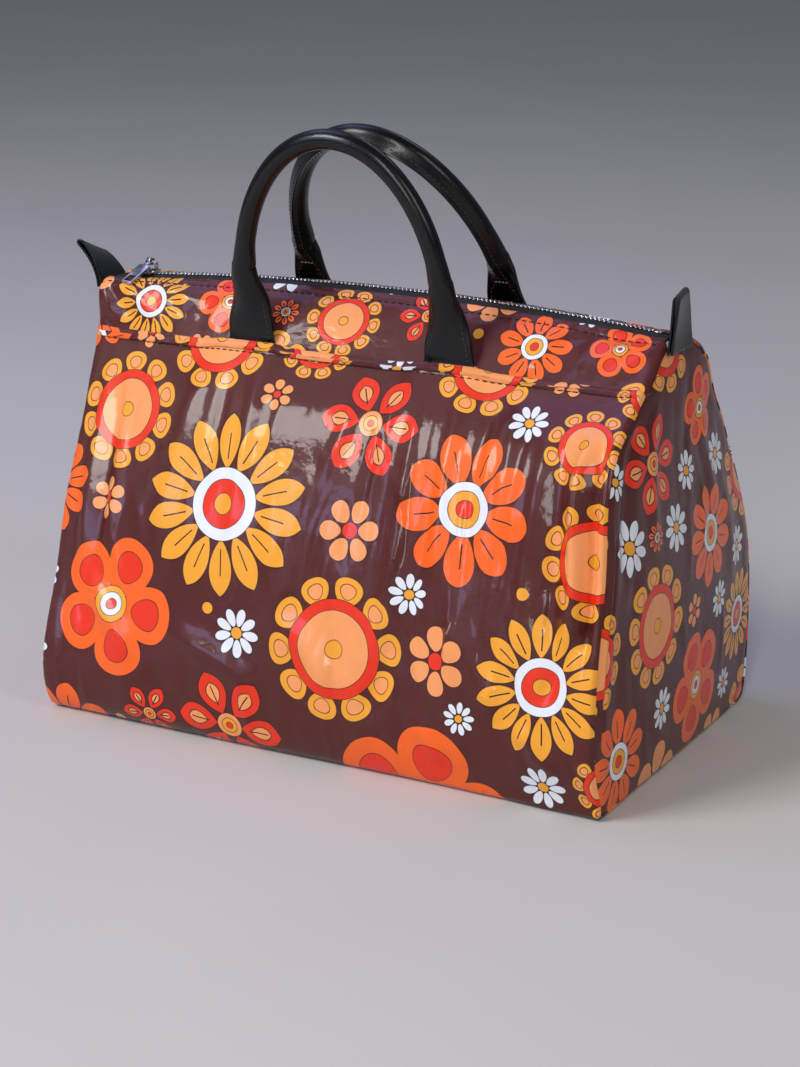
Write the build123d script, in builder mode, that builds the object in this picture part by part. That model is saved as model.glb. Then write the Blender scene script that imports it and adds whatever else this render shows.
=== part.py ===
from build123d import *
from math import asin, cos, degrees, hypot, pi, radians, sin, sqrt
import os

# Bowling bag of coated cloth. X runs along the zip, Y to the back, Z up, in millimetres.
# The origin is on the floor, in the middle of the base.

# The bag as a whole
bag_length = 380.0
base_depth = 212.0
zip_height = 265.0
zip_radius = 1897.0
zip_apex = -15.0
left_lean = 0.05
right_lean = 0.035
cloth = 1.2
floor_trim = 0.05
seam_gap = 0.25
board = 3.0
board_inset = 8.0
board_corner = 12.0

# Lapped seam between the lower panel and the yokes, which also holds the handle ends
lap = 16.0
handle_tab = 2.4
lap_clearance = 0.6

# Gussets
gusset_bulge = 8.0
gusset_fullness = 0.5
gusset_recess = 1.5
gusset_gap = 1.0
yoke_bands = 4
flank_bands = 12
gusset_least_bulge = 0.4

# Zip
mouth_half = 9.0
tape = 0.6
tape_flat = 4.0
tape_hidden = 8.0
tape_dip = 2.0
tape_slope = 0.775
tape_left = bag_length / 2 + 8.0
tape_right = bag_length / 2 - 12.0
tooth_pitch = 2.8
tooth_width = 1.2
tooth_height = 2.6
tooth_reach = 0.7
tooth_grip = 1.5
tooth_clearance = 0.05
tape_edge = 1.6
teeth_left = bag_length / 2 - 16.6
teeth_right = bag_length / 2 - 19.6
stop_length = 4.0
stop_gap = 0.8
top_stop_at = bag_length / 2 - 7.0

# Slider and its pull
slider_at = bag_length / 2 - 15.0
slider_length = 11.0
slider_width = 9.4
slider_plate = 1.2
slider_clearance = 0.3
slider_wall = 1.0
wedge_length = 3.6
wedge_half = 1.25
crown_length = 9.6
crown_height = 6.4
crown_wire = 1.5
crown_width = 2.2
pull_length = 24.0
pull_width = 9.6
pull_thickness = 1.5
pull_window = 6.0
pull_window_rim = 1.6
pull_neck_width = 3.4
pull_shoulder = 4.6
eye_inner = 1.6
eye_wall = 0.9
pull_skew = 15.0
pull_slope = 27.0

# Folded tabs at both ends of the zip
tab_width = 31.0
tab_height = 33.0
tab_layer = 1.4
tab_slit = 0.5
tab_foot = 247.0
left_tab_rise = 3.0
left_tab_upright = 5.0
left_tab_turn = 55.0

# Handles
handle_half_span = 67.5
handle_roll = 12.0
front_handle_centre = -7.6
front_handle_height = 128.0
front_handle_arch = 95.0
front_handle_tilt = 8.6
back_handle_centre = -2.0
back_handle_height = 150.0
back_handle_arch = 103.0
back_handle_tilt = 32.8
handle_arch_start = 8.0
handle_round = 0.49
flare_width = 33.0
flare_round = 0.45
flare_steps = [(0.55, 21.0, 8.0), (0.25, 30.0, 4.4)]
handle_end = 10.0

half_length = bag_length / 2
zip_centre = zip_height - zip_radius
lap_gap = cloth + handle_tab + 2 * lap_clearance
fold_drop = tape_dip - tape / 2 - seam_gap - cloth

# Side outlines from the zip's fold down to the floor, as (y, z) at the size they were drawn.
# The third point is the lapped edge, and the last is the foot of the side.
drawn_depth = 212.0
drawn_height = 265.0
front_middle = [
    (-9, 265), (-27, 252), (-44, 235), (-68, 206), (-85, 175),
    (-100, 138), (-111, 95), (-117, 52), (-117, 22), (-112, 6), (-100, 0),
]
front_left = [
    (-9, 258), (-21, 252), (-27, 230), (-40, 192), (-56, 160),
    (-75, 124), (-90, 84), (-106, 50), (-112, 24), (-108, 6), (-97, 0),
]
front_right = [
    (-9, 256), (-27, 246), (-46, 235), (-83, 211), (-100, 187),
    (-105, 148), (-116, 100), (-124, 54), (-121, 22), (-116, 6), (-104, 0),
]
back_middle = [
    (9, 265), (28, 252), (46, 236), (68, 207), (85, 175),
    (100, 138), (111, 95), (117, 52), (117, 22), (112, 6), (100, 0),
]
back_left = [
    (9, 258), (26, 252), (40, 236), (58, 204), (74, 172),
    (94, 134), (109, 94), (117, 52), (117, 22), (112, 6), (100, 0),
]
back_right = [
    (9, 256), (33, 248), (52, 237), (64, 212), (80, 184),
    (101, 148), (119, 104), (121, 54), (117, 22), (112, 6), (100, 0),
]
outlines = {
    "front": (front_middle, front_left, front_right),
    "back": (back_middle, back_left, back_right),
}
edge_index = 2
end_fullness = 2.2
station_shares = (-1, -0.7, -0.36, 0, 0.36, 0.7, 1)


def arc_height(x):
    """Height of the zip's middle line at a place along the bag."""
    return zip_centre + sqrt(zip_radius**2 - (x - zip_apex) ** 2)


def arc_angle(x):
    """Turn about the zip's centre, in degrees, that brings the zip's highest point to x."""
    return degrees(asin((x - zip_apex) / zip_radius))


def arc_plane(angle):
    """Plane across the zip: local x is +Y, local y runs out from the zip's centre."""
    turn = radians(angle)
    tangent = (cos(turn), 0, -sin(turn))
    return Plane(origin=(zip_apex, 0, zip_centre), x_dir=(0, 1, 0), z_dir=tangent)


def lean_at(x):
    """Both ends lean to the left as they rise, and the bag between them follows in proportion."""
    return (right_lean if x > 0 else left_lean) * abs(x / half_length)


def station_plane(x):
    """Plane across the bag through x on the floor: local x is +Y, local y runs up."""
    return Plane(origin=(x, 0, 0), x_dir=(0, 1, 0), z_dir=(1, 0, lean_at(x)))


def outline(side, x):
    """Side outline at a station, blended from the middle of the bag to its end."""
    middle, left, right = outlines[side]
    end = left if x < 0 else right
    share = abs(x / half_length) ** end_fullness
    wide = base_depth / drawn_depth
    tall = zip_height / drawn_height
    points = []
    for (my, mz), (ey, ez) in zip(middle, end):
        y = (my + (ey - my) * share) * wide
        z = (mz + (ez - mz) * share) * tall
        points.append((y, z))
    x_top = x - lean_at(x) * zip_height
    sign = -1 if side == "front" else 1
    points[0] = (sign * mouth_half, arc_height(x_top) - fold_drop)
    points[-1] = (points[-1][0], -floor_trim)
    return points


def inset(points, depths, floor=False):
    """Points moved to the inside of the bag, each by its own depth."""
    moved = []
    side = -1 if points[-1][0] < 0 else 1
    for i, (y, z) in enumerate(points):
        before = points[max(i - 1, 0)]
        after = points[min(i + 1, len(points) - 1)]
        ty, tz = after[0] - before[0], after[1] - before[1]
        if floor and i == len(points) - 1:
            ty, tz = -side, 0.0
        size = hypot(ty, tz)
        moved.append((y + side * depths[i] * tz / size, z - side * depths[i] * ty / size))
    return moved


def drawn_on(x, points):
    """Section points in a station plane, which is longer where the bag's end leans."""
    stretch = hypot(1, lean_at(x))
    return [(y, z * stretch) for y, z in points]


def slope_between(a, b):
    size = hypot(b[0] - a[0], b[1] - a[1])
    return ((b[0] - a[0]) / size, (b[1] - a[1]) / size)


def lower_side(side, x, depth):
    """Side of the lower panel from its lapped edge to its foot, at a depth in from the outside."""
    points = outline(side, x)[edge_index:]
    return drawn_on(x, inset(points, [depth] * len(points), floor=True))


def yoke_side(side, x, depth):
    """Side of a yoke from the zip's fold to its hidden edge behind the lower panel."""
    points = outline(side, x)
    edge = points[edge_index]
    down = slope_between(edge, points[edge_index + 1])
    hidden = [(edge[0] + down[0] * lap * share, edge[1] + down[1] * lap * share) for share in (0.5, 1)]
    depths = [depth, depth + lap_gap / 3, depth + lap_gap, depth + lap_gap, depth + lap_gap]
    return drawn_on(x, inset(points[: edge_index + 1] + hidden, depths))


def side_curve(points):
    """Smooth side, which ends level where it meets the floor."""
    start = slope_between(points[0], points[1])
    level = (1, 0) if points[-1][0] < 0 else (-1, 0)
    return Spline(*points, tangents=[start, level])


stations = [share * half_length for share in station_shares]

# Lower panel: one length of cloth, down the front, under the base and up the back.
with BuildPart() as lower_panel:
    for station in stations:
        front_out = lower_side("front", station, 0)
        back_out = lower_side("back", station, 0)
        front_in = lower_side("front", station, cloth)
        back_in = lower_side("back", station, cloth)
        with BuildSketch(station_plane(station)):
            with BuildLine():
                side_curve(front_out)
                Line(front_out[-1], back_out[-1])
                side_curve(back_out)
                Line(back_out[0], back_in[0])
                side_curve(back_in)
                Line(back_in[-1], front_in[-1])
                side_curve(front_in)
                Line(front_in[0], front_out[0])
            make_face()
    loft()
    # The loft runs a hair below the floor, so that this cut leaves a true flat base.
    split(bisect_by=Plane.XY, keep=Keep.TOP)

# Yokes: the upper bands between the lapped edges and the zip.
yokes = {}
for side in ("front", "back"):
    with BuildPart() as yoke:
        for station in stations:
            outer = yoke_side(side, station, 0)
            inner = yoke_side(side, station, cloth)
            with BuildSketch(station_plane(station)):
                with BuildLine():
                    Spline(*outer)
                    Line(outer[-1], inner[-1])
                    Spline(*inner)
                    Line(inner[0], outer[0])
                make_face()
        loft()
    yokes[side] = yoke

# Gussets: the two ends, which bulge outwards between their side seams.
def gusset_seam(side, x):
    """Places down one seam of a gusset: under the yoke, then inside the lower panel."""
    seam_depth = cloth + gusset_gap
    under_yoke = Spline(*yoke_side(side, x, seam_depth))
    in_panel = side_curve(lower_side(side, x, seam_depth))
    start = (lap + lap_gap) / in_panel.length
    places = [under_yoke @ (i / yoke_bands) for i in range(yoke_bands + 1)]
    places += [in_panel @ (start + (1 - start) * i / flank_bands) for i in range(flank_bands + 1)]
    return [station_plane(x).from_local_coords((place.X, place.Y, 0)) for place in places]


gussets = {}
for name, station in (("left", -half_length), ("right", half_length)):
    outward = -1 if station < 0 else 1
    with BuildPart() as gusset:
        for front, back in zip(gusset_seam("front", station), gusset_seam("back", station)):
            across = (back - front).normalized()
            middle = (front + back) / 2 - Vector(outward * gusset_recess, 0, 0)
            half = (back - front).length / 2
            rise = min(middle.Z / tab_foot, 1)
            bulge = gusset_least_bulge + gusset_bulge * sin(pi * rise) ** gusset_fullness
            with BuildSketch(Plane(origin=middle, x_dir=across, z_dir=across.cross(Vector(1, 0, 0)))):
                with BuildLine():
                    ThreePointArc((-half, 0), (0, outward * bulge), (half, 0))
                    Line((half, 0), (half, -outward * cloth))
                    ThreePointArc(
                        (half, -outward * cloth),
                        (0, outward * (bulge - cloth)),
                        (-half, -outward * cloth),
                    )
                    Line((-half, -outward * cloth), (-half, 0))
                make_face()
        loft(ruled=True)
    gussets[name] = gusset

# Base board: the stiffener that keeps the bottom flat.
board_length = bag_length - 2 * (gusset_recess + cloth + board_inset)
board_depth = base_depth - 2 * (cloth + board_inset)
with BuildPart() as base_board:
    with BuildSketch(Plane.XY.offset(cloth + seam_gap)):
        RectangleRounded(board_length, board_depth, board_corner)
    extrude(amount=board)

# Zip tapes: flat beside the teeth, then dipping under the yokes' folded edges.
tapes = {}
tape_line = [
    (tape_edge, 0),
    (tape_flat, 0),
    (mouth_half, -tape_dip),
    (mouth_half + tape_hidden, -tape_dip - tape_slope * tape_hidden),
]
left_end = arc_angle(-tape_left)
right_end = arc_angle(tape_right)
for side, sign in (("front", -1), ("back", 1)):
    upper = [(sign * y, zip_radius + z + tape / 2) for y, z in tape_line]
    lower = [(sign * y, zip_radius + z - tape / 2) for y, z in reversed(tape_line)]
    with BuildPart() as zip_tape:
        with BuildSketch(arc_plane(left_end)):
            with BuildLine():
                Polyline(*upper, *lower, close=True)
            make_face()
        revolve(axis=Axis((zip_apex, 0, zip_centre), (0, 1, 0)), revolution_arc=right_end - left_end)
    tapes[side] = zip_tape

# Zip teeth: two rows that grip their tapes and stand half a pitch apart.
pitch_angle = degrees(tooth_pitch / zip_radius)
first_tooth = arc_angle(-teeth_left)
tooth_count = int((arc_angle(teeth_right) - first_tooth) / pitch_angle)
grip_half = tape / 2 + tooth_clearance
tooth_line = [
    (-tooth_reach, -tooth_height / 2),
    (-tooth_reach, tooth_height / 2),
    (tape_edge + tooth_grip, tooth_height / 2),
    (tape_edge + tooth_grip, grip_half),
    (tape_edge - tooth_clearance, grip_half),
    (tape_edge - tooth_clearance, -grip_half),
    (tape_edge + tooth_grip, -grip_half),
    (tape_edge + tooth_grip, -tooth_height / 2),
]
teeth = {}
for side, sign, shift in (("front", -1, 0.0), ("back", 1, 0.5)):
    section = [(sign * y, zip_radius + z) for y, z in tooth_line]
    with BuildPart() as zip_teeth:
        for i in range(tooth_count):
            with BuildSketch(arc_plane(first_tooth + (i + shift) * pitch_angle)):
                with BuildLine():
                    Polyline(*section, close=True)
                make_face()
        extrude(amount=tooth_width / 2, both=True)
    teeth[side] = zip_teeth

# Zip stops: one across both tapes at the open end, and one on each tape beyond the slider.
last_tooth = first_tooth + tooth_count * pitch_angle
stop_angle = last_tooth + degrees((stop_gap + stop_length / 2) / zip_radius)
with BuildPart() as zip_bottom_stop:
    with BuildSketch(arc_plane(stop_angle)):
        with Locations((0, zip_radius)):
            Rectangle(2 * (tape_edge + tooth_grip), tooth_height)
        for sign in (-1, 1):
            with Locations((sign * (tape_edge + tooth_grip), zip_radius)):
                Rectangle(2 * (tooth_grip + tooth_clearance), 2 * grip_half, mode=Mode.SUBTRACT)
    extrude(amount=stop_length / 2, both=True)

with BuildPart() as zip_top_stops:
    with BuildSketch(arc_plane(arc_angle(-top_stop_at))):
        for sign in (-1, 1):
            with Locations((sign * (tape_edge + tooth_grip / 2), zip_radius)):
                Rectangle(tooth_grip + 2 * slider_wall, tooth_height)
            with Locations((sign * (tape_edge + tooth_grip), zip_radius)):
                Rectangle(2 * (tooth_grip + tooth_clearance), 2 * grip_half, mode=Mode.SUBTRACT)
    extrude(amount=tooth_width, both=True)

# Slider: two plates joined by a wedge, flanges that hold the teeth in, and the crown on top.
slider_turn = radians(arc_angle(-slider_at))
slider_seat = Plane(
    origin=(-slider_at, 0, arc_height(-slider_at)),
    x_dir=(cos(slider_turn), 0, -sin(slider_turn)),
    z_dir=(sin(slider_turn), 0, cos(slider_turn)),
)
plate_low = tooth_height / 2 + slider_clearance
plate_high = plate_low + slider_plate
flange_low = tape / 2 + slider_clearance
crown_top = plate_high + crown_height
crown_bar = crown_top - crown_wire / 2
slider_side = slider_seat.rotated((90, 0, 0))
with BuildPart() as zip_slider:
    for level in (plate_low, -plate_high):
        with BuildSketch(slider_seat.offset(level)):
            RectangleRounded(slider_length, slider_width, slider_width / 3)
        extrude(amount=slider_plate)
    for level in (flange_low, -plate_low):
        with BuildSketch(slider_seat.offset(level)):
            with Locations((0, (slider_width - slider_wall) / 2), (0, (slider_wall - slider_width) / 2)):
                Rectangle(slider_length - 2 * slider_width / 3, slider_wall)
        extrude(amount=plate_low - flange_low)
    with BuildSketch(slider_seat.offset(-plate_low)):
        with Locations((wedge_length / 2 - slider_length / 2, 0)):
            RectangleRounded(wedge_length, 2 * wedge_half, wedge_half / 2)
    extrude(amount=2 * plate_low)
    with BuildSketch(slider_side):
        with Locations((0, plate_high + crown_height / 2 - slider_plate / 4)):
            RectangleRounded(crown_length, crown_height + slider_plate / 2, crown_height / 2)
            RectangleRounded(
                crown_length - 2 * crown_wire,
                crown_height + slider_plate / 2 - 2 * crown_wire,
                crown_height / 2 - crown_wire,
                mode=Mode.SUBTRACT,
            )
    extrude(amount=crown_width / 2, both=True)

# Pull: an eye round the crown's top bar, a narrow neck, and a flat windowed plate.
bar_place = slider_seat.from_local_coords((0, 0, crown_bar))
pull_along = Vector(-sin(radians(pull_skew)), -cos(radians(pull_skew)), 0)
pull_axis = Vector(cos(radians(pull_skew)), -sin(radians(pull_skew)), 0)
pull_line = pull_along.rotate(Axis((0, 0, 0), tuple(pull_axis)), pull_slope)
pull_side = Plane(origin=bar_place, x_dir=pull_line, z_dir=pull_axis)
pull_face = Plane(origin=bar_place, x_dir=pull_line, z_dir=pull_axis.cross(pull_line))
eye_outer = eye_inner + eye_wall
with BuildPart() as zip_pull:
    with BuildSketch(pull_side):
        Circle(eye_outer)
        with Locations(((eye_outer + pull_shoulder) / 2, 0)):
            Rectangle(pull_shoulder - eye_inner, pull_thickness)
        Circle(eye_inner, mode=Mode.SUBTRACT)
    extrude(amount=pull_neck_width / 2, both=True)
    with BuildSketch(pull_face):
        with Locations(((pull_shoulder + pull_length) / 2, 0)):
            RectangleRounded(pull_length - pull_shoulder, pull_width, pull_window_rim)
        with Locations((pull_length - pull_window_rim - pull_window / 2, 0)):
            Rectangle(pull_window, pull_width - 2 * pull_window_rim, mode=Mode.SUBTRACT)
    extrude(amount=pull_thickness / 2, both=True)

# End tabs: leather strips folded over at the top, one upright and one curled outwards.
tab_thickness = 2 * tab_layer + tab_slit
tab_rise = tab_height - tab_layer
right_tab_x = half_length - right_lean * tab_foot + seam_gap + tab_thickness / 2
left_tab_foot = tab_foot + left_tab_rise
left_tab_x = -half_length - left_lean * (left_tab_foot + left_tab_upright) - seam_gap - tab_thickness / 2
left_tab_radius = (tab_rise - left_tab_upright) / radians(left_tab_turn)
with BuildPart() as zip_tab_right:
    with BuildSketch(Plane.XZ):
        with BuildLine() as upright:
            Line((right_tab_x, tab_foot), (right_tab_x, tab_foot + tab_rise))
        trace(upright.line, tab_slit)
        offset(amount=tab_layer)
        with BuildLine() as slit:
            Line((right_tab_x, tab_foot - tab_thickness), (right_tab_x, tab_foot + tab_rise))
        trace(slit.line, tab_slit, mode=Mode.SUBTRACT)
    extrude(amount=tab_width / 2, both=True)

with BuildPart() as zip_tab_left:
    with BuildSketch(Plane.XZ):
        with BuildLine() as curled:
            Line((left_tab_x, left_tab_foot), (left_tab_x, left_tab_foot + left_tab_upright))
            CenterArc(
                (left_tab_x - left_tab_radius, left_tab_foot + left_tab_upright),
                left_tab_radius,
                0,
                left_tab_turn,
            )
        trace(curled.line, tab_slit)
        offset(amount=tab_layer)
        with BuildLine() as curled_slit:
            Line(
                (left_tab_x, left_tab_foot - tab_thickness),
                (left_tab_x, left_tab_foot + left_tab_upright),
            )
            CenterArc(
                (left_tab_x - left_tab_radius, left_tab_foot + left_tab_upright),
                left_tab_radius,
                0,
                left_tab_turn,
            )
        trace(curled_slit.line, tab_slit, mode=Mode.SUBTRACT)
    extrude(amount=tab_width / 2, both=True)


# Handles: a stitched roll over an arch, which opens into a flat tab at each foot.
def foot_place(side, x, along):
    """Middle of a handle's flat end at x, between the yoke and the lower panel."""
    points = outline(side, x)
    edge = points[edge_index]
    down = slope_between(edge, points[edge_index + 1])
    sign = -1 if side == "front" else 1
    depth = cloth + lap_clearance + handle_tab / 2
    y = edge[0] + down[0] * along + sign * depth * down[1]
    z = edge[1] + down[1] * along - sign * depth * down[0]
    return Vector(x - lean_at(x) * z, y, z)


def flat_end(side, x, along):
    """Plane across a handle's flat end, square to the cloth that it lies on."""
    place = foot_place(side, x, along)
    uphill = (foot_place(side, x, 0) - foot_place(side, x, handle_end)).normalized()
    beside = foot_place(side, x + flare_width / 2, along) - foot_place(side, x - flare_width / 2, along)
    return Plane(origin=place, x_dir=beside.cross(uphill), z_dir=uphill)


handles = {}
for side, centre, height, rise, tilt in (
    ("front", front_handle_centre, front_handle_height, front_handle_arch, front_handle_tilt),
    ("back", back_handle_centre, back_handle_height, back_handle_arch, back_handle_tilt),
):
    feet = [centre + way * handle_half_span for way in (1, -1)]
    middle = (foot_place(side, feet[0], 0) + foot_place(side, feet[1], 0)) / 2
    lean = radians(tilt)
    upright = Vector(0, -sin(lean), cos(lean))
    arch_plane = Plane(
        origin=(centre, middle.Y, middle.Z),
        x_dir=(1, 0, 0),
        z_dir=Vector(1, 0, 0).cross(upright),
    )
    spring = height - rise
    roll_height = spring + rise * sin(radians(handle_arch_start))
    with BuildPart() as handle:
        with BuildLine(arch_plane) as arch:
            EllipticalCenterArc(
                (0, spring), handle_half_span, rise,
                start_angle=handle_arch_start, arc_size=180 - 2 * handle_arch_start,
            )
        start_plane = Plane(origin=arch.line @ 0, x_dir=arch_plane.z_dir, z_dir=arch.line % 0)
        with BuildSketch(start_plane):
            RectangleRounded(handle_roll, handle_roll, handle_round * handle_roll)
        sweep()
        for way, foot, end in ((1, feet[0], 0), (-1, feet[1], 1)):
            roll_place = Plane(
                origin=arch.line @ end,
                x_dir=arch_plane.z_dir,
                z_dir=(arch.line % end) * way,
            )
            with BuildSketch(roll_place):
                RectangleRounded(handle_roll, handle_roll, handle_round * handle_roll)
            for share, width, thick in flare_steps:
                place = arch_plane.from_local_coords((way * handle_half_span, share * roll_height, 0))
                with BuildSketch(Plane(origin=place, x_dir=arch_plane.z_dir, z_dir=upright)):
                    RectangleRounded(thick, width, flare_round * thick)
            with BuildSketch(flat_end(side, foot, 0)):
                RectangleRounded(handle_tab, flare_width, flare_round * handle_tab)
            loft()
            for along in (0, handle_end):
                with BuildSketch(flat_end(side, foot, along)):
                    RectangleRounded(handle_tab, flare_width, flare_round * handle_tab)
            loft()
    handles[side] = handle

pieces = {
    "lower_panel": lower_panel,
    "yoke_front": yokes["front"],
    "yoke_back": yokes["back"],
    "gusset_left": gussets["left"],
    "gusset_right": gussets["right"],
    "base_board": base_board,
    "zip_tape_front": tapes["front"],
    "zip_tape_back": tapes["back"],
    "zip_teeth_front": teeth["front"],
    "zip_teeth_back": teeth["back"],
    "zip_bottom_stop": zip_bottom_stop,
    "zip_top_stops": zip_top_stops,
    "zip_slider": zip_slider,
    "zip_pull": zip_pull,
    "zip_tab_left": zip_tab_left,
    "zip_tab_right": zip_tab_right,
    "handle_front": handles["front"],
    "handle_back": handles["back"],
}
os.makedirs("parts", exist_ok=True)
for name, piece in pieces.items():
    piece.part.label = name
    export_step(piece.part, f"parts/{name}.step")
    print(name, round(piece.part.volume))

travel = arc_angle(teeth_right - slider_length) - arc_angle(-slider_at)
print("slider axis through", (zip_apex, 0, round(zip_centre, 2)), "travel", round(travel, 2))
print("pull axis", tuple(round(v, 4) for v in pull_axis), "through", tuple(round(v, 3) for v in bar_place))
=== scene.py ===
# %% [markdown]
# A soft bowling bag, dressed step by step. The frame below loads the model of the bag's construction:
# its panels, zip and handles at their real size, in metres. Each piece of cloth and leather then gets a
# finished form that follows that construction, and every surface gets its own material.

# %% Start from the frame
import bpy
import math
import random
from functools import partial
import numpy as np
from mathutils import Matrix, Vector
from mathutils.bvhtree import BVHTree


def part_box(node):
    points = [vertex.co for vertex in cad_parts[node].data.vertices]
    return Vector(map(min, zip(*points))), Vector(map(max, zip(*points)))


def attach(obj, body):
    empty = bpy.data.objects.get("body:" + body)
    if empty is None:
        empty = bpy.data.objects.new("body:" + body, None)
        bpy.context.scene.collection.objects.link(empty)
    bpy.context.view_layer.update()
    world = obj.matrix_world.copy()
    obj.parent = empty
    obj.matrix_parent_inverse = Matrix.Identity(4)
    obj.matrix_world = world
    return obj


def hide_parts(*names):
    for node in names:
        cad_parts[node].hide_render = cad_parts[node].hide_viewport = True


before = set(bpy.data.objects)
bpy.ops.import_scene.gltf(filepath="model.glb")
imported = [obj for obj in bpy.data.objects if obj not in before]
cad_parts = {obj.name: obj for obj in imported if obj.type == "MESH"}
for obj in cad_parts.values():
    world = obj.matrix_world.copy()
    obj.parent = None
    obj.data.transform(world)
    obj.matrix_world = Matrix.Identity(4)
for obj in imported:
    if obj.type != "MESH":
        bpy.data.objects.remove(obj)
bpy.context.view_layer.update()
MM = 0.001
print("frame nodes:", len(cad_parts))

# %% [markdown]
# The camera comes first, because every later choice of detail depends on what it shows. It stands to the
# right of the bag and a little above it. A long lens keeps the ends of the bag nearly parallel.

# %% Camera at the photograph's angle
VIEW_AZIMUTH = math.radians(27.9)
VIEW_ELEVATION = math.radians(16.8)
VIEW_DISTANCE = 1.5976
VIEW_TARGET = Vector((0.0024, 0.0, 0.1123))
LENS_PIXELS = 2588.3
PHOTO_HEIGHT = 1067
FILM = 36.0

view_ray = Vector((
    math.sin(VIEW_AZIMUTH) * math.cos(VIEW_ELEVATION),
    -math.cos(VIEW_AZIMUTH) * math.cos(VIEW_ELEVATION),
    math.sin(VIEW_ELEVATION),
))
bpy.ops.object.select_all(action="DESELECT")
bpy.ops.object.camera_add(
    location=VIEW_TARGET + VIEW_DISTANCE * view_ray,
    rotation=(math.pi / 2 - VIEW_ELEVATION, 0, VIEW_AZIMUTH),
)
camera = bpy.context.object
camera.data.sensor_fit = "VERTICAL"
camera.data.sensor_height = FILM
camera.data.lens = LENS_PIXELS / PHOTO_HEIGHT * FILM
camera.data.clip_end = 20
bpy.context.scene.camera = camera
print("camera lens", round(camera.data.lens, 1), "mm")

# %% [markdown]
# Colours are written as they look on a screen, from 0 to 255, and turned into the linear values that
# shaders use. One small helper does that for the whole script.

# %% Colour helper
def colour(red, green, blue):
    """A screen colour as a linear shader colour."""
    out = []
    for value in (red, green, blue):
        share = value / 255
        out.append(share / 12.92 if share <= 0.04045 else ((share + 0.055) / 1.055) ** 2.4)
    return (*out, 1.0)


BROWN = colour(84, 28, 21)
INK = colour(36, 12, 12)
ORANGE = colour(255, 104, 22)
RED = colour(240, 48, 6)
GOLD = colour(248, 168, 44)
PEACH = colour(252, 162, 96)
WHITE = colour(236, 240, 244)

# %% [markdown]
# Materials are node trees, so a few short helpers keep them readable. `calc` places a Math node and
# returns its output, `linked` joins a value or a socket to an input, and `new_material` starts a tree.

# %% Node helpers
def linked(tree, value, socket):
    if isinstance(value, bpy.types.NodeSocket):
        tree.links.new(value, socket)
    else:
        socket.default_value = value


def calc(tree, operation, *values):
    node = tree.nodes.new("ShaderNodeMath")
    node.operation = operation
    for value, socket in zip(values, node.inputs):
        linked(tree, value, socket)
    return node.outputs[0]


def sums(tree):
    """The four sums of one node tree, under short names."""
    return [partial(calc, tree, operation) for operation in ("ADD", "SUBTRACT", "MULTIPLY", "DIVIDE")]


def split(tree, vector, kind="ShaderNodeSeparateXYZ"):
    node = tree.nodes.new(kind)
    tree.links.new(vector, node.inputs[0])
    return node.outputs


def stretched(tree, place, factors):
    """Squeezes or stretches a pattern along the three axes, by scaling the places that it reads."""
    node = tree.nodes.new("ShaderNodeVectorMath")
    node.operation = "MULTIPLY"
    for value, socket in zip((place, factors), node.inputs):
        linked(tree, value, socket)
    return node.outputs["Vector"]


def blend(tree, share, first, second):
    """Mixes two colours."""
    node = tree.nodes.new("ShaderNodeMix")
    node.data_type = "RGBA"
    linked(tree, share, node.inputs[0])
    linked(tree, first, node.inputs[6])
    linked(tree, second, node.inputs[7])
    return node.outputs[2]


def fitted(tree, value, low, high, to_low=0.0, to_high=1.0):
    """Carries a value from one range to another, clamped at the ends."""
    node = tree.nodes.new("ShaderNodeMapRange")
    for source, socket in zip((value, low, high, to_low, to_high), node.inputs):
        linked(tree, source, socket)
    return node.outputs[0]


def ranged(tree, share, low, high):
    """Carries a share from 0 to 1 to a range."""
    return fitted(tree, share, 0.0, 1.0, low, high)


def noise(tree, place, scale, detail=3.0):
    node = tree.nodes.new("ShaderNodeTexNoise")
    for label, value in (("Vector", place), ("Scale", scale), ("Detail", detail)):
        linked(tree, value, node.inputs[label])
    return node.outputs[0]


# %% [markdown]
# Patterns need a place to read. Most finishes use the piece's own Object coordinates, and the print uses
# attributes. A Bump node then turns a height into small relief, and `finish` fills in a shader's inputs.

# %% Places, relief and materials
def object_place(tree):
    return tree.nodes.new("ShaderNodeTexCoord").outputs["Object"]


def attribute(tree, name):
    node = tree.nodes.new("ShaderNodeAttribute")
    node.attribute_name = name
    return node.outputs["Vector"]


def bump(tree, height, distance, strength=1.0, normal=None):
    node = tree.nodes.new("ShaderNodeBump")
    node.inputs["Distance"].default_value = distance
    node.inputs["Strength"].default_value = strength
    linked(tree, height, node.inputs["Height"])
    if normal is not None:
        linked(tree, normal, node.inputs["Normal"])
    return node.outputs[0]


def finish(tree, shader, **inputs):
    """Joins values or sockets to the shader's inputs, named in small letters."""
    for label, value in inputs.items():
        words = [word.upper() if word == "ior" else word.capitalize() for word in label.split("_")]
        linked(tree, value, shader.inputs[" ".join(words)])


def new_material(name):
    material = bpy.data.materials.new(name)
    material.use_nodes = True
    tree = material.node_tree
    tree.nodes.clear()
    shader = tree.nodes.new("ShaderNodeBsdfPrincipled")
    output = tree.nodes.new("ShaderNodeOutputMaterial")
    tree.links.new(shader.outputs[0], output.inputs[0])
    return material, tree, shader


# %% [markdown]
# An effect that several finishes share becomes a node group. It is built once, with named sockets, and
# each material that uses it sets its own values.

# %% Group helpers
def new_group(name, inputs, outputs):
    """A shader node group with named sockets. Returns its tree, its inputs and its outputs."""
    tree = bpy.data.node_groups.new(name, "ShaderNodeTree")
    for label, kind in inputs:
        tree.interface.new_socket(name=label, in_out="INPUT", socket_type="NodeSocket" + kind)
    for label, kind in outputs:
        tree.interface.new_socket(name=label, in_out="OUTPUT", socket_type="NodeSocket" + kind)
    entry = tree.nodes.new("NodeGroupInput")
    leave = tree.nodes.new("NodeGroupOutput")
    return tree, entry.outputs, leave.inputs


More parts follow.
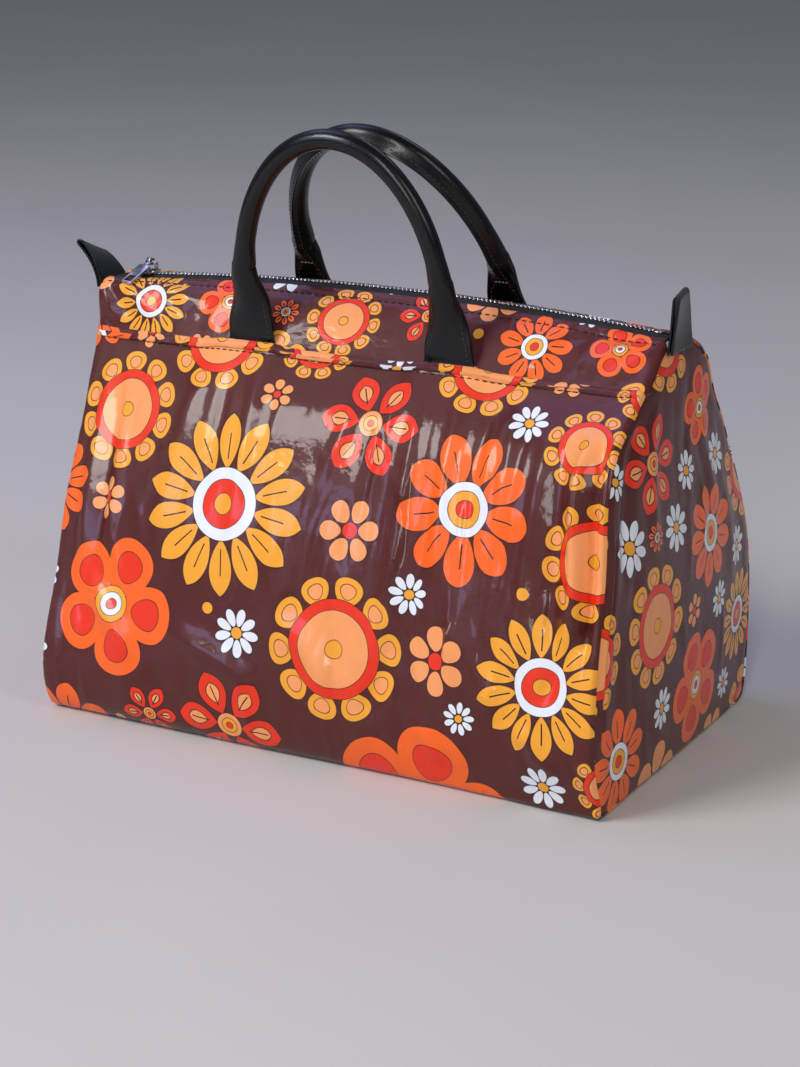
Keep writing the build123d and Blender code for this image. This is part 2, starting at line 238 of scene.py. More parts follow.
def use_group(tree, group, **values):
    node = tree.nodes.new("ShaderNodeGroup")
    node.node_tree = group
    for label, value in values.items():
        linked(tree, value, node.inputs[label])
    return node.outputs


# %% [markdown]
# The cloth is a plain weave under a clear glossy film. Its print holds flowers of several makes. Each
# make is one row of a small table: the outer petals, a smaller mark on each petal, and up to three round
# rings in the middle. All lengths are shares of the flower's radius. The shader reads the table through
# colour ramps, so one node group draws every flower on the bag.

# %% The makes of flower
MAKES = {
    "sunburst": dict(
        petals=14, reach=0.68, long=0.32, wide=0.15, tip=0.7, mark=0.0, vein=1.0,
        rings=(0.40, 0.27, 0.12), colours=(GOLD, GOLD, WHITE, RED, GOLD),
    ),
    "mallow": dict(
        petals=5, reach=0.58, long=0.42, wide=0.40, tip=0.0, mark=0.55, vein=0.0,
        rings=(0.26, 0.17, 0.08), colours=(ORANGE, RED, GOLD, WHITE, RED),
    ),
    "rosette": dict(
        petals=10, reach=0.80, long=0.20, wide=0.225, tip=0.0, mark=0.55, vein=0.0,
        rings=(0.68, 0.53, 0.13), colours=(GOLD, PEACH, RED, PEACH, GOLD),
    ),
    "lily": dict(
        petals=6, reach=0.61, long=0.39, wide=0.275, tip=0.7, mark=0.5, vein=1.0,
        rings=(0.24, 0.15, 0.07), colours=(RED, PEACH, PEACH, GOLD, RED),
    ),
    "wheel": dict(
        petals=9, reach=0.65, long=0.35, wide=0.225, tip=0.3, mark=0.0, vein=1.0,
        rings=(0.36, 0.24, 0.12), colours=(ORANGE, ORANGE, WHITE, GOLD, RED),
    ),
    "star": dict(
        petals=9, reach=0.60, long=0.40, wide=0.205, tip=0.1, mark=0.0, vein=0.0,
        rings=(0.25, 0.0, 0.0), colours=(WHITE, WHITE, GOLD, GOLD, GOLD),
    ),
    "clover": dict(
        petals=6, reach=0.62, long=0.37, wide=0.30, tip=0.0, mark=0.0, vein=0.0,
        rings=(0.26, 0.0, 0.0), colours=(PEACH, PEACH, RED, RED, RED),
    ),
    "dot": dict(
        petals=1, reach=0.0, long=0.01, wide=0.01, tip=0.0, mark=0.0, vein=0.0,
        rings=(0.92, 0.0, 0.0), colours=(GOLD, GOLD, GOLD, GOLD, GOLD),
    ),
}
MAKE_NAMES = list(MAKES)
OUTLINE_WIDTH = 0.45 * MM
MOST_PETALS = 20


# %% [markdown]
# A colour ramp with hard steps works as a lookup: the make's number picks a step, and the step's colour
# holds either a real colour or three numbers of that make.

# %% Lookup ramp
def make_ramp(tree, make_index, values):
    """A stepped ramp that gives each make its own three numbers or its own colour."""
    node = tree.nodes.new("ShaderNodeValToRGB")
    ramp = node.color_ramp
    ramp.interpolation = "CONSTANT"
    for i, value in enumerate(values):
        element = ramp.elements[i] if i < 2 else ramp.elements.new(i / len(values))
        element.position = i / len(values)
        element.color = value if len(value) == 4 else (*value, 1.0)
    share = calc(tree, "DIVIDE", calc(tree, "ADD", make_index, 0.5), float(len(values)))
    tree.links.new(share, node.inputs[0])
    return node.outputs[0]


# %% [markdown]
# The group measures where a point lies in its flower, as an angle and a distance. Folding the angle
# into one sector repeats a single petal all the way round. Each layer is painted over the one below
# it, with a dark line along its edge.

# %% Printed flower group
def printed_flower_group():
    group, given, made = new_group(
        "printed flower",
        [("Place", "Vector"), ("Flower", "Vector"), ("Make", "Vector")],
        [("Color", "Color")],
    )
    add, take, times, per = sums(group)
    flower_x, flower_y, radius = split(group, given["Flower"])
    turn, make_index, _ = split(group, given["Make"])
    place_x, place_y, _ = split(group, given["Place"])
    x = per(take(place_x, flower_x), radius)
    y = per(take(place_y, flower_y), radius)
    far = calc(group, "SQRT", add(calc(group, "POWER", calc(group, "ABSOLUTE", x), 2.0),
                                   calc(group, "POWER", calc(group, "ABSOLUTE", y), 2.0)))

    def table(rows):
        return split(group, make_ramp(group, make_index, rows), "ShaderNodeSeparateColor")

    makes = MAKES.values()
    counts = table([(make["petals"] / MOST_PETALS, 0.0, 0.0) for make in makes])
    count = calc(group, "ROUND", times(counts[0], float(MOST_PETALS)))
    reach, petal_long, petal_wide = table([(make["reach"], make["long"], make["wide"]) for make in makes])
    tip, mark_size, has_vein = table([(make["tip"], make["mark"], make["vein"]) for make in makes])
    rings = table([make["rings"] for make in makes])
    inks = [make_ramp(group, make_index, [make["colours"][i] for make in makes]) for i in range(5)]

    angle = add(calc(group, "ARCTAN2", y, x), turn)
    sector = per(2 * math.pi, count)
    folded = times(sector, take(calc(group, "FRACT", add(per(angle, sector), 100.5)), 0.5))
    along = times(far, calc(group, "COSINE", folded))
    across = calc(group, "ABSOLUTE", times(far, calc(group, "SINE", folded)))
    thin = per(OUTLINE_WIDTH, radius)

    def petal(scale):
        """How far a point lies outside a petal, in shares of the radius. Inside it is negative."""
        long = times(petal_long, scale)
        wide = times(petal_wide, scale)
        u = per(take(along, reach), long)
        fuller = add(1.0, times(u, 0.22))
        v = per(across, times(wide, fuller))
        round_tip = times(v, v)
        sharp = add(round_tip, times(tip, take(v, round_tip)))
        size = calc(group, "SQRT", calc(group, "MAXIMUM", add(times(u, u), sharp), 0.0))
        return times(take(size, 1.0), calc(group, "MINIMUM", long, wide))

    def paint(below, outside, ink):
        """Ink where the distance is negative, with a dark line just inside its edge."""
        soft = times(thin, 0.25)
        filled = fitted(group, outside, soft, times(soft, -1.0))
        inner = add(outside, thin)
        inked = fitted(group, inner, soft, times(soft, -1.0))
        return blend(group, inked, blend(group, filled, below, INK), ink)

    painted = paint(BROWN, petal(1.0), inks[0])
    has_mark = calc(group, "GREATER_THAN", mark_size, 0.01)
    marked = paint(painted, petal(calc(group, "MAXIMUM", mark_size, 0.05)), inks[1])
    mark = blend(group, has_mark, painted, marked)
    vein_far = calc(group, "ABSOLUTE", take(along, times(reach, 0.92)))
    vein_half = times(petal_long, 0.45)
    vein = calc(group, "MAXIMUM", take(across, times(thin, 0.9)), take(vein_far, vein_half))
    vein_on = times(has_vein, calc(group, "LESS_THAN", vein, 0.0))
    painted = blend(group, vein_on, mark, INK)
    for i, ink in enumerate(inks[2:]):
        painted = paint(painted, take(far, rings[i]), ink)
    near = calc(group, "LESS_THAN", far, 1.02)
    real = calc(group, "GREATER_THAN", radius, 0.0001)
    group.links.new(blend(group, times(near, real), BROWN, painted), made["Color"])
    return group


flower_group = printed_flower_group()
print("printed flower group:", len(flower_group.nodes), "nodes")

# %% [markdown]
# Three effects are shared by several materials, so each is a group of its own: the fine weave of cloth,
# the pebbled grain of leather, and the small marks of handling that make a finish uneven.

# %% Weave, grain and handling groups
def weave_group():
    group, given, made = new_group(
        "plain weave",
        [("Place", "Vector"), ("Pitch", "Float")],
        [("Height", "Float"), ("Thread", "Float")],
    )
    add, take, times, per = sums(group)
    waves = []
    for along in split(group, given["Place"])[:2]:
        wave = calc(group, "SINE", times(per(along, given["Pitch"]), math.pi))
        waves.append((calc(group, "ABSOLUTE", wave), wave))
    upper = fitted(group, times(waves[0][1], waves[1][1]), -0.3, 0.3)
    height = add(times(waves[0][0], upper), times(waves[1][0], take(1.0, upper)))
    group.links.new(height, made["Height"])
    group.links.new(upper, made["Thread"])
    return group


def grain_group():
    group, given, made = new_group(
        "leather grain",
        [("Place", "Vector"), ("Scale", "Float")],
        [("Height", "Float"), ("Crease", "Float")],
    )
    cells = group.nodes.new("ShaderNodeTexVoronoi")
    cells.feature = "DISTANCE_TO_EDGE"
    group.links.new(given["Place"], cells.inputs["Vector"])
    group.links.new(given["Scale"], cells.inputs["Scale"])
    pebble = fitted(group, cells.outputs["Distance"], 0.0, 0.35)
    fine = noise(group, given["Place"], 900.0, 4.0)
    group.links.new(calc(group, "ADD", pebble, calc(group, "MULTIPLY", fine, 0.5)), made["Height"])
    group.links.new(fitted(group, noise(group, given["Place"], 70.0, 5.0), 0.45, 0.75), made["Crease"])
    return group


def handling_group():
    group, given, made = new_group(
        "handling",
        [("Place", "Vector"), ("Scale", "Float")],
        [("Smudge", "Float"), ("Streak", "Float")],
    )
    patches = noise(group, given["Place"], given["Scale"], 6.0)
    group.links.new(fitted(group, patches, 0.35, 0.7), made["Smudge"])
    scratches = noise(group, stretched(group, given["Place"], (90.0, 90.0, 9.0)), 1.0, 4.0)
    group.links.new(fitted(group, scratches, 0.4, 0.7), made["Streak"])
    return group


weave = weave_group()
grain = grain_group()
handling = handling_group()

# %% [markdown]
# The coated cloth is a printed base under a clear coat. The coat gives the sharp, wet highlights, and
# the weave below it only softens them a little. The print reads two attributes that each panel carries:
# its place on the flat cloth, and the flower that the place belongs to.

# %% Coated printed cloth
def coated_cloth():
    material, tree, shader = new_material("coated printed cloth")
    place = attribute(tree, "cloth_place")
    printed = use_group(tree, flower_group, Place=place, Flower=attribute(tree, "flower"),
                        Make=attribute(tree, "flower_make"))["Color"]
    threads = use_group(tree, weave, Place=place, Pitch=0.42 * MM)
    smudge = use_group(tree, handling, Place=object_place(tree), Scale=22.0)["Smudge"]
    faded = blend(tree, ranged(tree, smudge, 0.0, 0.03), printed, colour(96, 84, 96))
    # Painted shade: the base colour darkens towards deep brown in the low gaps between the threads.
    shade = ranged(tree, threads["Height"], 0.16, 0.0)
    film = bump(tree, noise(tree, object_place(tree), 95.0, 4.0), 1.0 * MM, 0.42)
    finish(
        tree, shader, base_color=blend(tree, shade, faded, colour(20, 8, 8)),
        roughness=ranged(tree, smudge, 0.20, 0.32), specular_ior_level=0.25, coat_weight=0.44,
        coat_roughness=0.09, coat_ior=1.45, coat_normal=film,
        normal=bump(tree, threads["Height"], 0.07 * MM, 0.8, film),
    )
    return material


# %% [markdown]
# The handles and tabs are smooth black leather: a fine pebble, a few softer creases and a thin polish.
# Thread is a twist of fine strands, so a stretched noise lays light and dark strands beside each other.

# %% Leather and thread
def black_leather():
    material, tree, shader = new_material("black leather")
    place = object_place(tree)
    skin = use_group(tree, grain, Place=place, Scale=1100.0)
    smudge = use_group(tree, handling, Place=place, Scale=35.0)["Smudge"]
    creases = bump(tree, skin["Crease"], 0.3 * MM, 0.3)
    # Painted shade: the leather's colour is darkest in the low parts of the creases and lighter on their
    # ridges.
    finish(
        tree, shader, base_color=blend(tree, skin["Crease"], colour(3, 3, 4), colour(8, 8, 9)),
        roughness=ranged(tree, smudge, 0.22, 0.34), specular_ior_level=0.28, coat_weight=0.2,
        coat_roughness=0.12, normal=bump(tree, skin["Height"], 0.05 * MM, 0.5, creases),
    )
    return material


def thread_material(name, dark, light):
    material, tree, shader = new_material(name)
    strands = noise(tree, stretched(tree, object_place(tree), (1.0, 1.0, 2.2)), 2400.0, 2.0)
    finish(
        tree, shader, base_color=blend(tree, strands, dark, light),
        roughness=fitted(tree, strands, 0.3, 0.7, 0.45, 0.7), normal=bump(tree, strands, 0.1 * MM, 0.7),
    )
    return material


# %% [markdown]
# The zip has a matt woven tape and bright nickel parts, rubbed a little by use. The board in the base is
# pressed fibre, which never shows from outside but keeps its own finish.

# %% Zip tape, metal and board
def zip_tape_material():
    material, tree, shader = new_material("zip tape")
    place = object_place(tree)
    threads = use_group(tree, weave, Place=place, Pitch=0.55 * MM)
    smudge = use_group(tree, handling, Place=place, Scale=60.0)["Smudge"]
    finish(
        tree, shader, base_color=blend(tree, threads["Thread"], colour(16, 16, 18), colour(30, 29, 31)),
        roughness=ranged(tree, smudge, 0.7, 0.9), normal=bump(tree, threads["Height"], 0.12 * MM, 0.9),
    )
    return material


def zip_metal():
    material, tree, shader = new_material("nickel metal")
    place = object_place(tree)
    marks = use_group(tree, handling, Place=place, Scale=240.0)
    finish(
        tree, shader,
        base_color=blend(tree, marks["Streak"], colour(214, 214, 216), colour(168, 166, 164)),
        metallic=1.0, roughness=ranged(tree, marks["Smudge"], 0.16, 0.34),
        normal=bump(tree, noise(tree, place, 1500.0, 3.0), 0.04 * MM, 0.5),
    )
    return material


def board_material():
    material, tree, shader = new_material("fibre board")
    fibres = noise(tree, stretched(tree, object_place(tree), (1.0, 6.0, 1.0)), 260.0, 5.0)
    finish(
        tree, shader, base_color=blend(tree, fibres, colour(96, 74, 56), colour(132, 106, 82)),
        roughness=fitted(tree, fibres, 0.3, 0.7, 0.8, 0.95), normal=bump(tree, fibres, 0.2 * MM, 0.5),
    )
    return material


cloth_finish = coated_cloth()
leather_finish = black_leather()
dark_thread = thread_material("dark thread", colour(12, 9, 9), colour(34, 28, 28))
leather_thread = thread_material("leather thread", colour(22, 22, 24), colour(52, 52, 56))
light_thread = thread_material("light thread", colour(84, 84, 86), colour(140, 140, 142))
tape_finish = zip_tape_material()
metal_finish = zip_metal()
board_finish = board_material()
print("materials:", [m.name for m in bpy.data.materials if m.node_tree])

# %% [markdown]
# A cloth panel starts as a flat grid, as cloth does on the cutting table. The `wrapped` helper adds the
# grid primitive and lays each of its points where a list of places says. Rows run down the panel and
# columns along the bag. The panel's own shape is read from the construction model by casting rays at it
# from outside, so the dressed panel always follows the real one.

# %% Helpers that lay a grid on a shape
def chosen(piece):
    """Makes a piece the only selected and active one."""
    bpy.ops.object.select_all(action="DESELECT")
    piece.select_set(True)
    bpy.context.view_layer.objects.active = piece


def edited(piece, *steps):
    """Runs operators on a piece in edit mode, with all of it selected at first."""
    chosen(piece)
    bpy.ops.object.mode_set(mode="EDIT")
    bpy.ops.mesh.select_all(action="SELECT")
    for operator, settings in steps:
        operator(**settings)
    bpy.ops.object.mode_set(mode="OBJECT")


def wrapped(name, places, closed=False):
    """A grid primitive laid on an array of places, as rows x columns x 3."""
    rows, columns, _ = places.shape
    bpy.ops.object.select_all(action="DESELECT")
    bpy.ops.mesh.primitive_grid_add(x_subdivisions=columns - 1, y_subdivisions=rows - 1, size=1)
    piece = bpy.context.object
    piece.name = name
    piece.data.name = name
    piece.data.vertices.foreach_set("co", places.reshape(-1))
    piece.data.update()
    if closed:
        edited(piece, (bpy.ops.mesh.remove_doubles, {"threshold": 0.02 * MM}),
               (bpy.ops.mesh.normals_make_consistent, {"inside": False}))
    return piece


# %% [markdown]
# Three finishing steps come back on many pieces: smooth shading up to an angle, small rounded edges, and
# a wall that gives a single layer its thickness.

# %% Finishing steps
def smooth(piece, angle):
    chosen(piece)
    bpy.ops.object.shade_smooth_by_angle(angle=math.radians(angle))


def bevelled(piece, width, angle):
    """Rounds the edges of a piece that are sharper than an angle."""
    corner = piece.modifiers.new("soft corners", "BEVEL")
    corner.width = width
    corner.segments = 2
    corner.limit_method = "ANGLE"
    corner.angle_limit = math.radians(angle)
    bpy.ops.object.modifier_apply(modifier=corner.name)


def thickened(piece, thickness, offset=-1.0):
    """Gives a single layer of cloth or leather its thickness, on its inner side."""
    bpy.context.view_layer.objects.active = piece
    wall = piece.modifiers.new("thickness", "SOLIDIFY")
    wall.thickness = thickness
    wall.offset = offset
    wall.use_even_offset = False
    bpy.ops.object.modifier_apply(modifier=wall.name)


# %% [markdown]
# The rest are measuring tools. Folds are pushed out along the grid's normals, and seams and stitches are
# spaced by length along a line. Two soft curves, a step and a hump, shape every fold.

# %% Measuring tools
def normals_of(places, outward):
    """Unit normals of a grid of places, all on the side that the outward directions point to."""
    across = np.gradient(places, axis=1)
    down = np.gradient(places, axis=0)
    normal = np.cross(across, down)
    normal /= np.maximum(np.linalg.norm(normal, axis=2, keepdims=True), 1e-12)
    side = np.sign((normal * outward).sum(axis=2, keepdims=True))
    side[side == 0] = 1
    return normal * side


def along_lengths(line):
    steps = np.linalg.norm(np.diff(line, axis=0), axis=1)
    return np.concatenate([[0], np.cumsum(steps)])


def resampled(line, shares):
    """Points on a polyline at shares of its length."""
    lengths = along_lengths(line)
    wanted = np.asarray(shares) * lengths[-1]
    return np.stack([np.interp(wanted, lengths, line[:, k]) for k in range(3)], axis=1)


def shape_of(node):
    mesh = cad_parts[node].data
    points = [v.co for v in mesh.vertices]
    return BVHTree.FromPolygons(points, [tuple(p.vertices) for p in mesh.polygons])


def smoothstep(value, low, high):
    """A soft step from 0 at the low value to 1 at the high one."""
    share = np.clip((value - low) / (high - low), 0, 1)
    return share * share * (3 - 2 * share)


def hump(value, middle, half):
    """A soft hump that is 1 at the middle and fades away over a few half widths."""
    return np.exp(-(((value - middle) / half) ** 2))


# %% [markdown]
# The ends of the bag lean a little to the left, so each column of a panel lies in a leaning plane. The
# ray helper sweeps an angle round a point inside the bag, and keeps the outermost place at each angle.

# %% Sections of the construction model
END_X = 190.0 * MM
LEFT_LEAN = 0.05
RIGHT_LEAN = 0.035
RAY_LENGTH = 0.45


def lean_at(x):
    return (RIGHT_LEAN if x > 0 else LEFT_LEAN) * abs(x / END_X)


def struck(tree, x, core, angle):
    """The outermost place of a shape at an angle round the core of a section, or None."""
    lean = lean_at(x)
    along = Vector((-lean * math.sin(angle), math.cos(angle), math.sin(angle)))
    centre = Vector((x - lean * core[1], core[0], core[1]))
    place, _, _, _ = tree.ray_cast(centre + along * RAY_LENGTH, -along, RAY_LENGTH)
    return place


def edge_angle(tree, x, core, hit, miss):
    """The angle at which a section ends, found by halving."""
    for _ in range(16):
        middle = (hit + miss) / 2
        if struck(tree, x, core, middle) is None:
            miss = middle
        else:
            hit = middle
    return hit


def section(tree, x, core, start, end, count):
    places = [struck(tree, x, core, start + (end - start) * i / count) for i in range(count + 1)]
    return np.array([tuple(p) for p in places if p is not None])


def column_places(count, crowding=0.38):
    """Places along the bag, closer together near its two ends."""
    q = np.linspace(-1, 1, count)
    return END_X * ((1 - crowding) * q + crowding * np.sin(q * math.pi / 2))


# %% [markdown]
# A folded hem is made with the panel: its rows start inside, run round a small fold and come out on the
# face. With its thickness added, the edge then shows the real roll of doubled cloth.

# %% Folded hem
HEM_STEPS = 8


def with_hem(places, normals, radius, depth):
    """Rows for a hem before the first row of a panel. Normals point outwards."""
    first = places[0]
    inward = places[1] - places[0]
    inward /= np.linalg.norm(inward, axis=1, keepdims=True)
    normal = normals[0]
    rows = [first + inward * far - normal * 2 * radius for far in np.linspace(depth, radius * 1.4, 4)]
    centre = first + inward * radius - normal * radius
    for i in range(HEM_STEPS + 1):
        angle = math.pi * i / HEM_STEPS
        rows.append(centre + radius * (-inward * math.sin(angle) - normal * math.cos(angle)))
    lengths = np.linalg.norm(places - first, axis=2)
    keep = int(np.argmax(lengths.min(axis=1) > radius * 1.2))
    hemmed = np.concatenate([np.array(rows), places[keep:]])
    steps = np.linalg.norm(np.diff(hemmed[: len(rows) + 1], axis=0), axis=2).mean(axis=1)
    turned = np.cumsum(steps[::-1])[::-1]
    return hemmed, turned, keep


# %% [markdown]
# Creases are what makes coated cloth look real. Each one is a soft ridge or valley between two places
# on the panel, given one by one: along the bag, up the cloth, its half width and its height. A seeded loop
# then adds many faint ones, mostly upright, as the cloth hangs from the handles.

# %% Crease helper
def creased(u, v, creases):
    """Height of the cloth above its smooth shape, from a list of ridges and valleys."""
    height = np.zeros_like(u)
    for u1, v1, u2, v2, half, tall in creases:
        du, dv = u2 - u1, v2 - v1
        size = math.hypot(du, dv)
        share = ((u - u1) * du + (v - v1) * dv) / size**2
        off = ((u - u1) * dv - (v - v1) * du) / size
        fade = smoothstep(share, -0.05, 0.3) * (1 - smoothstep(share, 0.7, 1.05))
        bend = 0.25 * half * np.sin(share * 5.0 + u1 * 90)
        height += tall * hump(off + bend, 0, half) * fade
    return height


def in_mm(*creases):
    """Creases whose half width and height are given in millimetres."""
    return [(*line, half * MM, tall * MM) for *line, half, tall in creases]


def scattered_creases(seed, count, u_range, v_range, length, half, tall, slant=0.25):
    draw = random.Random(seed)
    creases = []
    for _ in range(count):
        u = draw.uniform(*u_range)
        v = draw.uniform(*v_range)
        size = draw.uniform(*length)
        turn = draw.gauss(0, slant)
        sign = draw.choice((-1, 1, 1))
        creases.append((
            u, v, u + size * math.sin(turn), v - size * math.cos(turn),
            draw.uniform(*half), sign * draw.uniform(*tall),
        ))
    return creases


# %% [markdown]
# The lower panel is one length of cloth: down the front, under the base and up the back. Its two upper
# edges lap over the yokes and hold the handle ends. The middle of its base is where the flat cloth is
# measured from, so the print runs unbroken round the bag.

# %% Lower panel: its smooth shape
CLOTH = 0.9 * MM
HEM_RADIUS = 1.1 * MM
HEM_DEPTH = 7.0 * MM
SEAM_RADIUS = 2.6 * MM
PANEL_CORE = (0.0, 0.11)
PANEL_COLUMNS = 190
PANEL_ROWS = 214
panel_shape = shape_of("lower_panel")
panel_x = column_places(PANEL_COLUMNS)
panel_lines = []
for x in panel_x:
    inside_x = float(np.clip(x, -END_X + 0.2 * MM, END_X - 0.2 * MM))
    front = edge_angle(panel_shape, inside_x, PANEL_CORE, math.pi, math.pi / 2)
    back = edge_angle(panel_shape, inside_x, PANEL_CORE, 0.0, math.pi / 2)
    line = section(panel_shape, inside_x, PANEL_CORE, front, back + 2 * math.pi, 300)
    line[:, 0] += x - inside_x
    panel_lines.append(line)
row_shares = np.interp(
    np.linspace(0, 1, PANEL_ROWS), [0, 0.03, 0.45, 0.55, 0.97, 1], [0, 0.018, 0.355, 0.645, 0.982, 1]
)
panel = np.stack([resampled(line, row_shares) for line in panel_lines], axis=1)
girth = np.array([along_lengths(line)[-1] for line in panel_lines])
panel_v = (0.5 - row_shares[:, None]) * girth[None, :]
panel_u = np.repeat(panel_x[None, :], PANEL_ROWS, axis=0)
outward = panel - np.array([0, PANEL_CORE[0], PANEL_CORE[1]])
outward[..., 0] = 0
FRONT_EDGE_V = float(panel_v[0].mean())
print("lower panel girth", round(float(girth.mean()), 3), "m, front edge at", round(FRONT_EDGE_V, 3))

# %% [markdown]
# The panel then takes its softness: a roll into the end seams, flatter laps between the handle feet,
# the dip of the topstitching, the pull of the handles and the upright crinkles below them.

# %% Lower panel: folds, laps and creases
HANDLE_FEET = {"front": (-75.1 * MM, 59.9 * MM), "back": (-69.5 * MM, 65.5 * MM)}
FOOT_HALF_WIDTH = 15 * MM
STITCH_DOWN = 8.5 * MM
front_creases = in_mm(
    (0.075, 0.345, 0.085, 0.215, 5, 2.6), (0.100, 0.340, 0.098, 0.225, 4, -2.2),
    (0.055, 0.335, 0.050, 0.200, 5, 2.4), (0.034, 0.340, 0.022, 0.230, 4, -1.8),
    (0.118, 0.345, 0.128, 0.250, 6, 2.2), (0.066, 0.300, 0.070, 0.120, 6, -2.4),
    (0.092, 0.250, 0.106, 0.110, 6, 2), (0.010, 0.335, -0.012, 0.240, 5, 1.8),
    (-0.062, 0.345, -0.052, 0.230, 5, 2.2), (-0.078, 0.345, -0.082, 0.240, 4.5, -1.8),
    (-0.096, 0.345, -0.112, 0.225, 6, 2), (-0.172, 0.345, -0.168, 0.190, 5, 2.6),
    (-0.160, 0.335, -0.157, 0.210, 4, -2.2), (-0.150, 0.320, -0.146, 0.200, 5, 1.8),
    (-0.030, 0.290, -0.018, 0.150, 7, 1.4), (0.152, 0.335, 0.163, 0.175, 5.5, -3.6),
    (0.169, 0.335, 0.176, 0.190, 5, 3), (0.142, 0.330, 0.139, 0.200, 5, 2.4),
    (0.186, 0.225, 0.150, 0.170, 5, -3), (0.128, 0.345, 0.122, 0.235, 3.5, -1.8),
    (0.135, 0.230, 0.150, 0.130, 7, 1.6), (0.030, 0.200, 0.040, 0.115, 7, 1.2),
    (-0.120, 0.210, -0.128, 0.110, 9, 1.2), (-0.092, 0.180, -0.030, 0.148, 9, 4.2),
    (-0.160, 0.205, -0.122, 0.150, 8, 3.6), (-0.112, 0.150, -0.080, 0.125, 7, -2.6),
    (-0.016, 0.200, 0.022, 0.155, 9, 3.6), (0.062, 0.205, 0.040, 0.140, 7, -3),
    (0.096, 0.215, 0.128, 0.160, 9, 4), (0.138, 0.160, 0.170, 0.135, 7, 3),
    (0.070, 0.150, 0.096, 0.130, 7, 2.6),
)
fine_creases = scattered_creases(
    5, 90, (-0.185, 0.185), (0.16, 0.345), (0.03, 0.11), (1.6 * MM, 4.5 * MM), (0.25 * MM, 0.9 * MM)
)
middle_creases = scattered_creases(
    11, 46, (0.0, 0.14), (0.2, 0.35), (0.04, 0.12), (1.4 * MM, 3.2 * MM), (0.4 * MM, 1.1 * MM), 0.18
)
back_creases = [(-u1, -v1, -u2, -v2, half, tall) for u1, v1, u2, v2, half, tall in front_creases]
back_fine = [(-u1, -v1, -u2, -v2, half, tall) for u1, v1, u2, v2, half, tall in fine_creases]


def from_edge(v):
    """How far a row lies below the lapped edge on its own side of the bag."""
    return FRONT_EDGE_V - np.abs(v)


def near_feet(u, v, half):
    """1 beside the handle feet, falling to 0 away from them."""
    feet = np.zeros_like(u)
    for side, sign in (("front", 1), ("back", -1)):
        for foot in HANDLE_FEET[side]:
            close = hump(np.maximum(np.abs(u - foot) - FOOT_HALF_WIDTH, 0), 0, half)
            feet = np.maximum(feet, close * (np.sign(v) == sign))
    return feet


def end_roll(gap, radius):
    """How far cloth turns in where it rolls into a seam, at a distance from the seam."""
    inside = np.clip(radius - gap, 0, radius)
    return radius - np.sqrt(np.maximum(radius**2 - inside**2, 0))


def seam_ripple(v, seed):
    draw = random.Random(seed)
    ripple = np.zeros_like(v)
    for _ in range(5):
        ripple += np.sin(v * draw.uniform(350, 900) + draw.uniform(0, 6)) * draw.uniform(0.3, 1.0)
    return ripple / 3


# %% [markdown]
# All the heights are summed up in one sheet of numbers, and the grid is then moved along its normals by
# it. Folds are pressed flat near the seams, where real cloth is held by its stitching.

# %% Lower panel: the sum of its folds
LAP_PRESS = 2.5 * MM
HEM_RISE = 0.5 * MM
HEM_RIPPLE = 0.25 * MM
STITCH_DIP = 0.45 * MM
SEAM_RISE = 0.9 * MM
SEAM_RIPPLE = 0.5 * MM
CORNER_VALLEY = 5.6 * MM
CORNER_RIDGE = 3.0 * MM
panel_gap = END_X - np.abs(panel_u)
panel_below = from_edge(panel_v)
side_wall = smoothstep(np.abs(panel_v), 0.10, 0.14)
lift = creased(panel_u, panel_v, front_creases + fine_creases + middle_creases + back_creases + back_fine)
lift *= smoothstep(panel_gap, 2 * MM, 12 * MM) * smoothstep(panel_below, 3 * MM, 22 * MM) * side_wall
lap_press = (1 - near_feet(panel_u, panel_v, 12 * MM)) * (1 - smoothstep(panel_below, 14 * MM, 45 * MM))
lift -= LAP_PRESS * lap_press * side_wall
hem_bulk = 1 - smoothstep(panel_below, STITCH_DOWN - 2 * MM, STITCH_DOWN + 1.5 * MM)
lift += HEM_RISE * hem_bulk
lift -= STITCH_DIP * hump(panel_below, STITCH_DOWN, 1.3 * MM)
lift += HEM_RIPPLE * hem_bulk * seam_ripple(panel_u, 3)
lift += side_wall * (
    SEAM_RISE * hump(panel_gap, 6 * MM, 5 * MM)
    + SEAM_RIPPLE * seam_ripple(panel_v, 7) * hump(panel_gap, 5 * MM, 6 * MM)
)
# The cloth is drawn tight beside the right end seam, with a deep valley there and a ridge along it.
corner_stretch = smoothstep(panel_v, 0.185, 0.225) * (1 - smoothstep(panel_v, 0.300, 0.335)) * (panel_u > 0)
lift -= CORNER_VALLEY * corner_stretch * hump(panel_gap, 9 * MM, 3.6 * MM)
lift += CORNER_RIDGE * corner_stretch * hump(panel_gap, 19 * MM, 5 * MM)
lift -= end_roll(panel_gap, SEAM_RADIUS)
panel_normal = normals_of(panel, outward)
panel = panel + panel_normal * lift[..., None]
panel[..., 2] = np.maximum(panel[..., 2], 0.05 * MM)
panel_normal = normals_of(panel, outward)
front_hemmed, front_turned, front_keep = with_hem(panel, panel_normal, HEM_RADIUS, HEM_DEPTH)
back_hemmed, back_turned, back_keep = with_hem(panel[::-1], panel_normal[::-1], HEM_RADIUS, HEM_DEPTH)
front_hem, back_hem = len(front_turned), len(back_turned)
body = slice(front_keep, PANEL_ROWS - back_keep)
panel_full = np.concatenate([front_hemmed[:front_hem], panel[body], back_hemmed[:back_hem][::-1]])
print("lower panel grid", panel_full.shape)
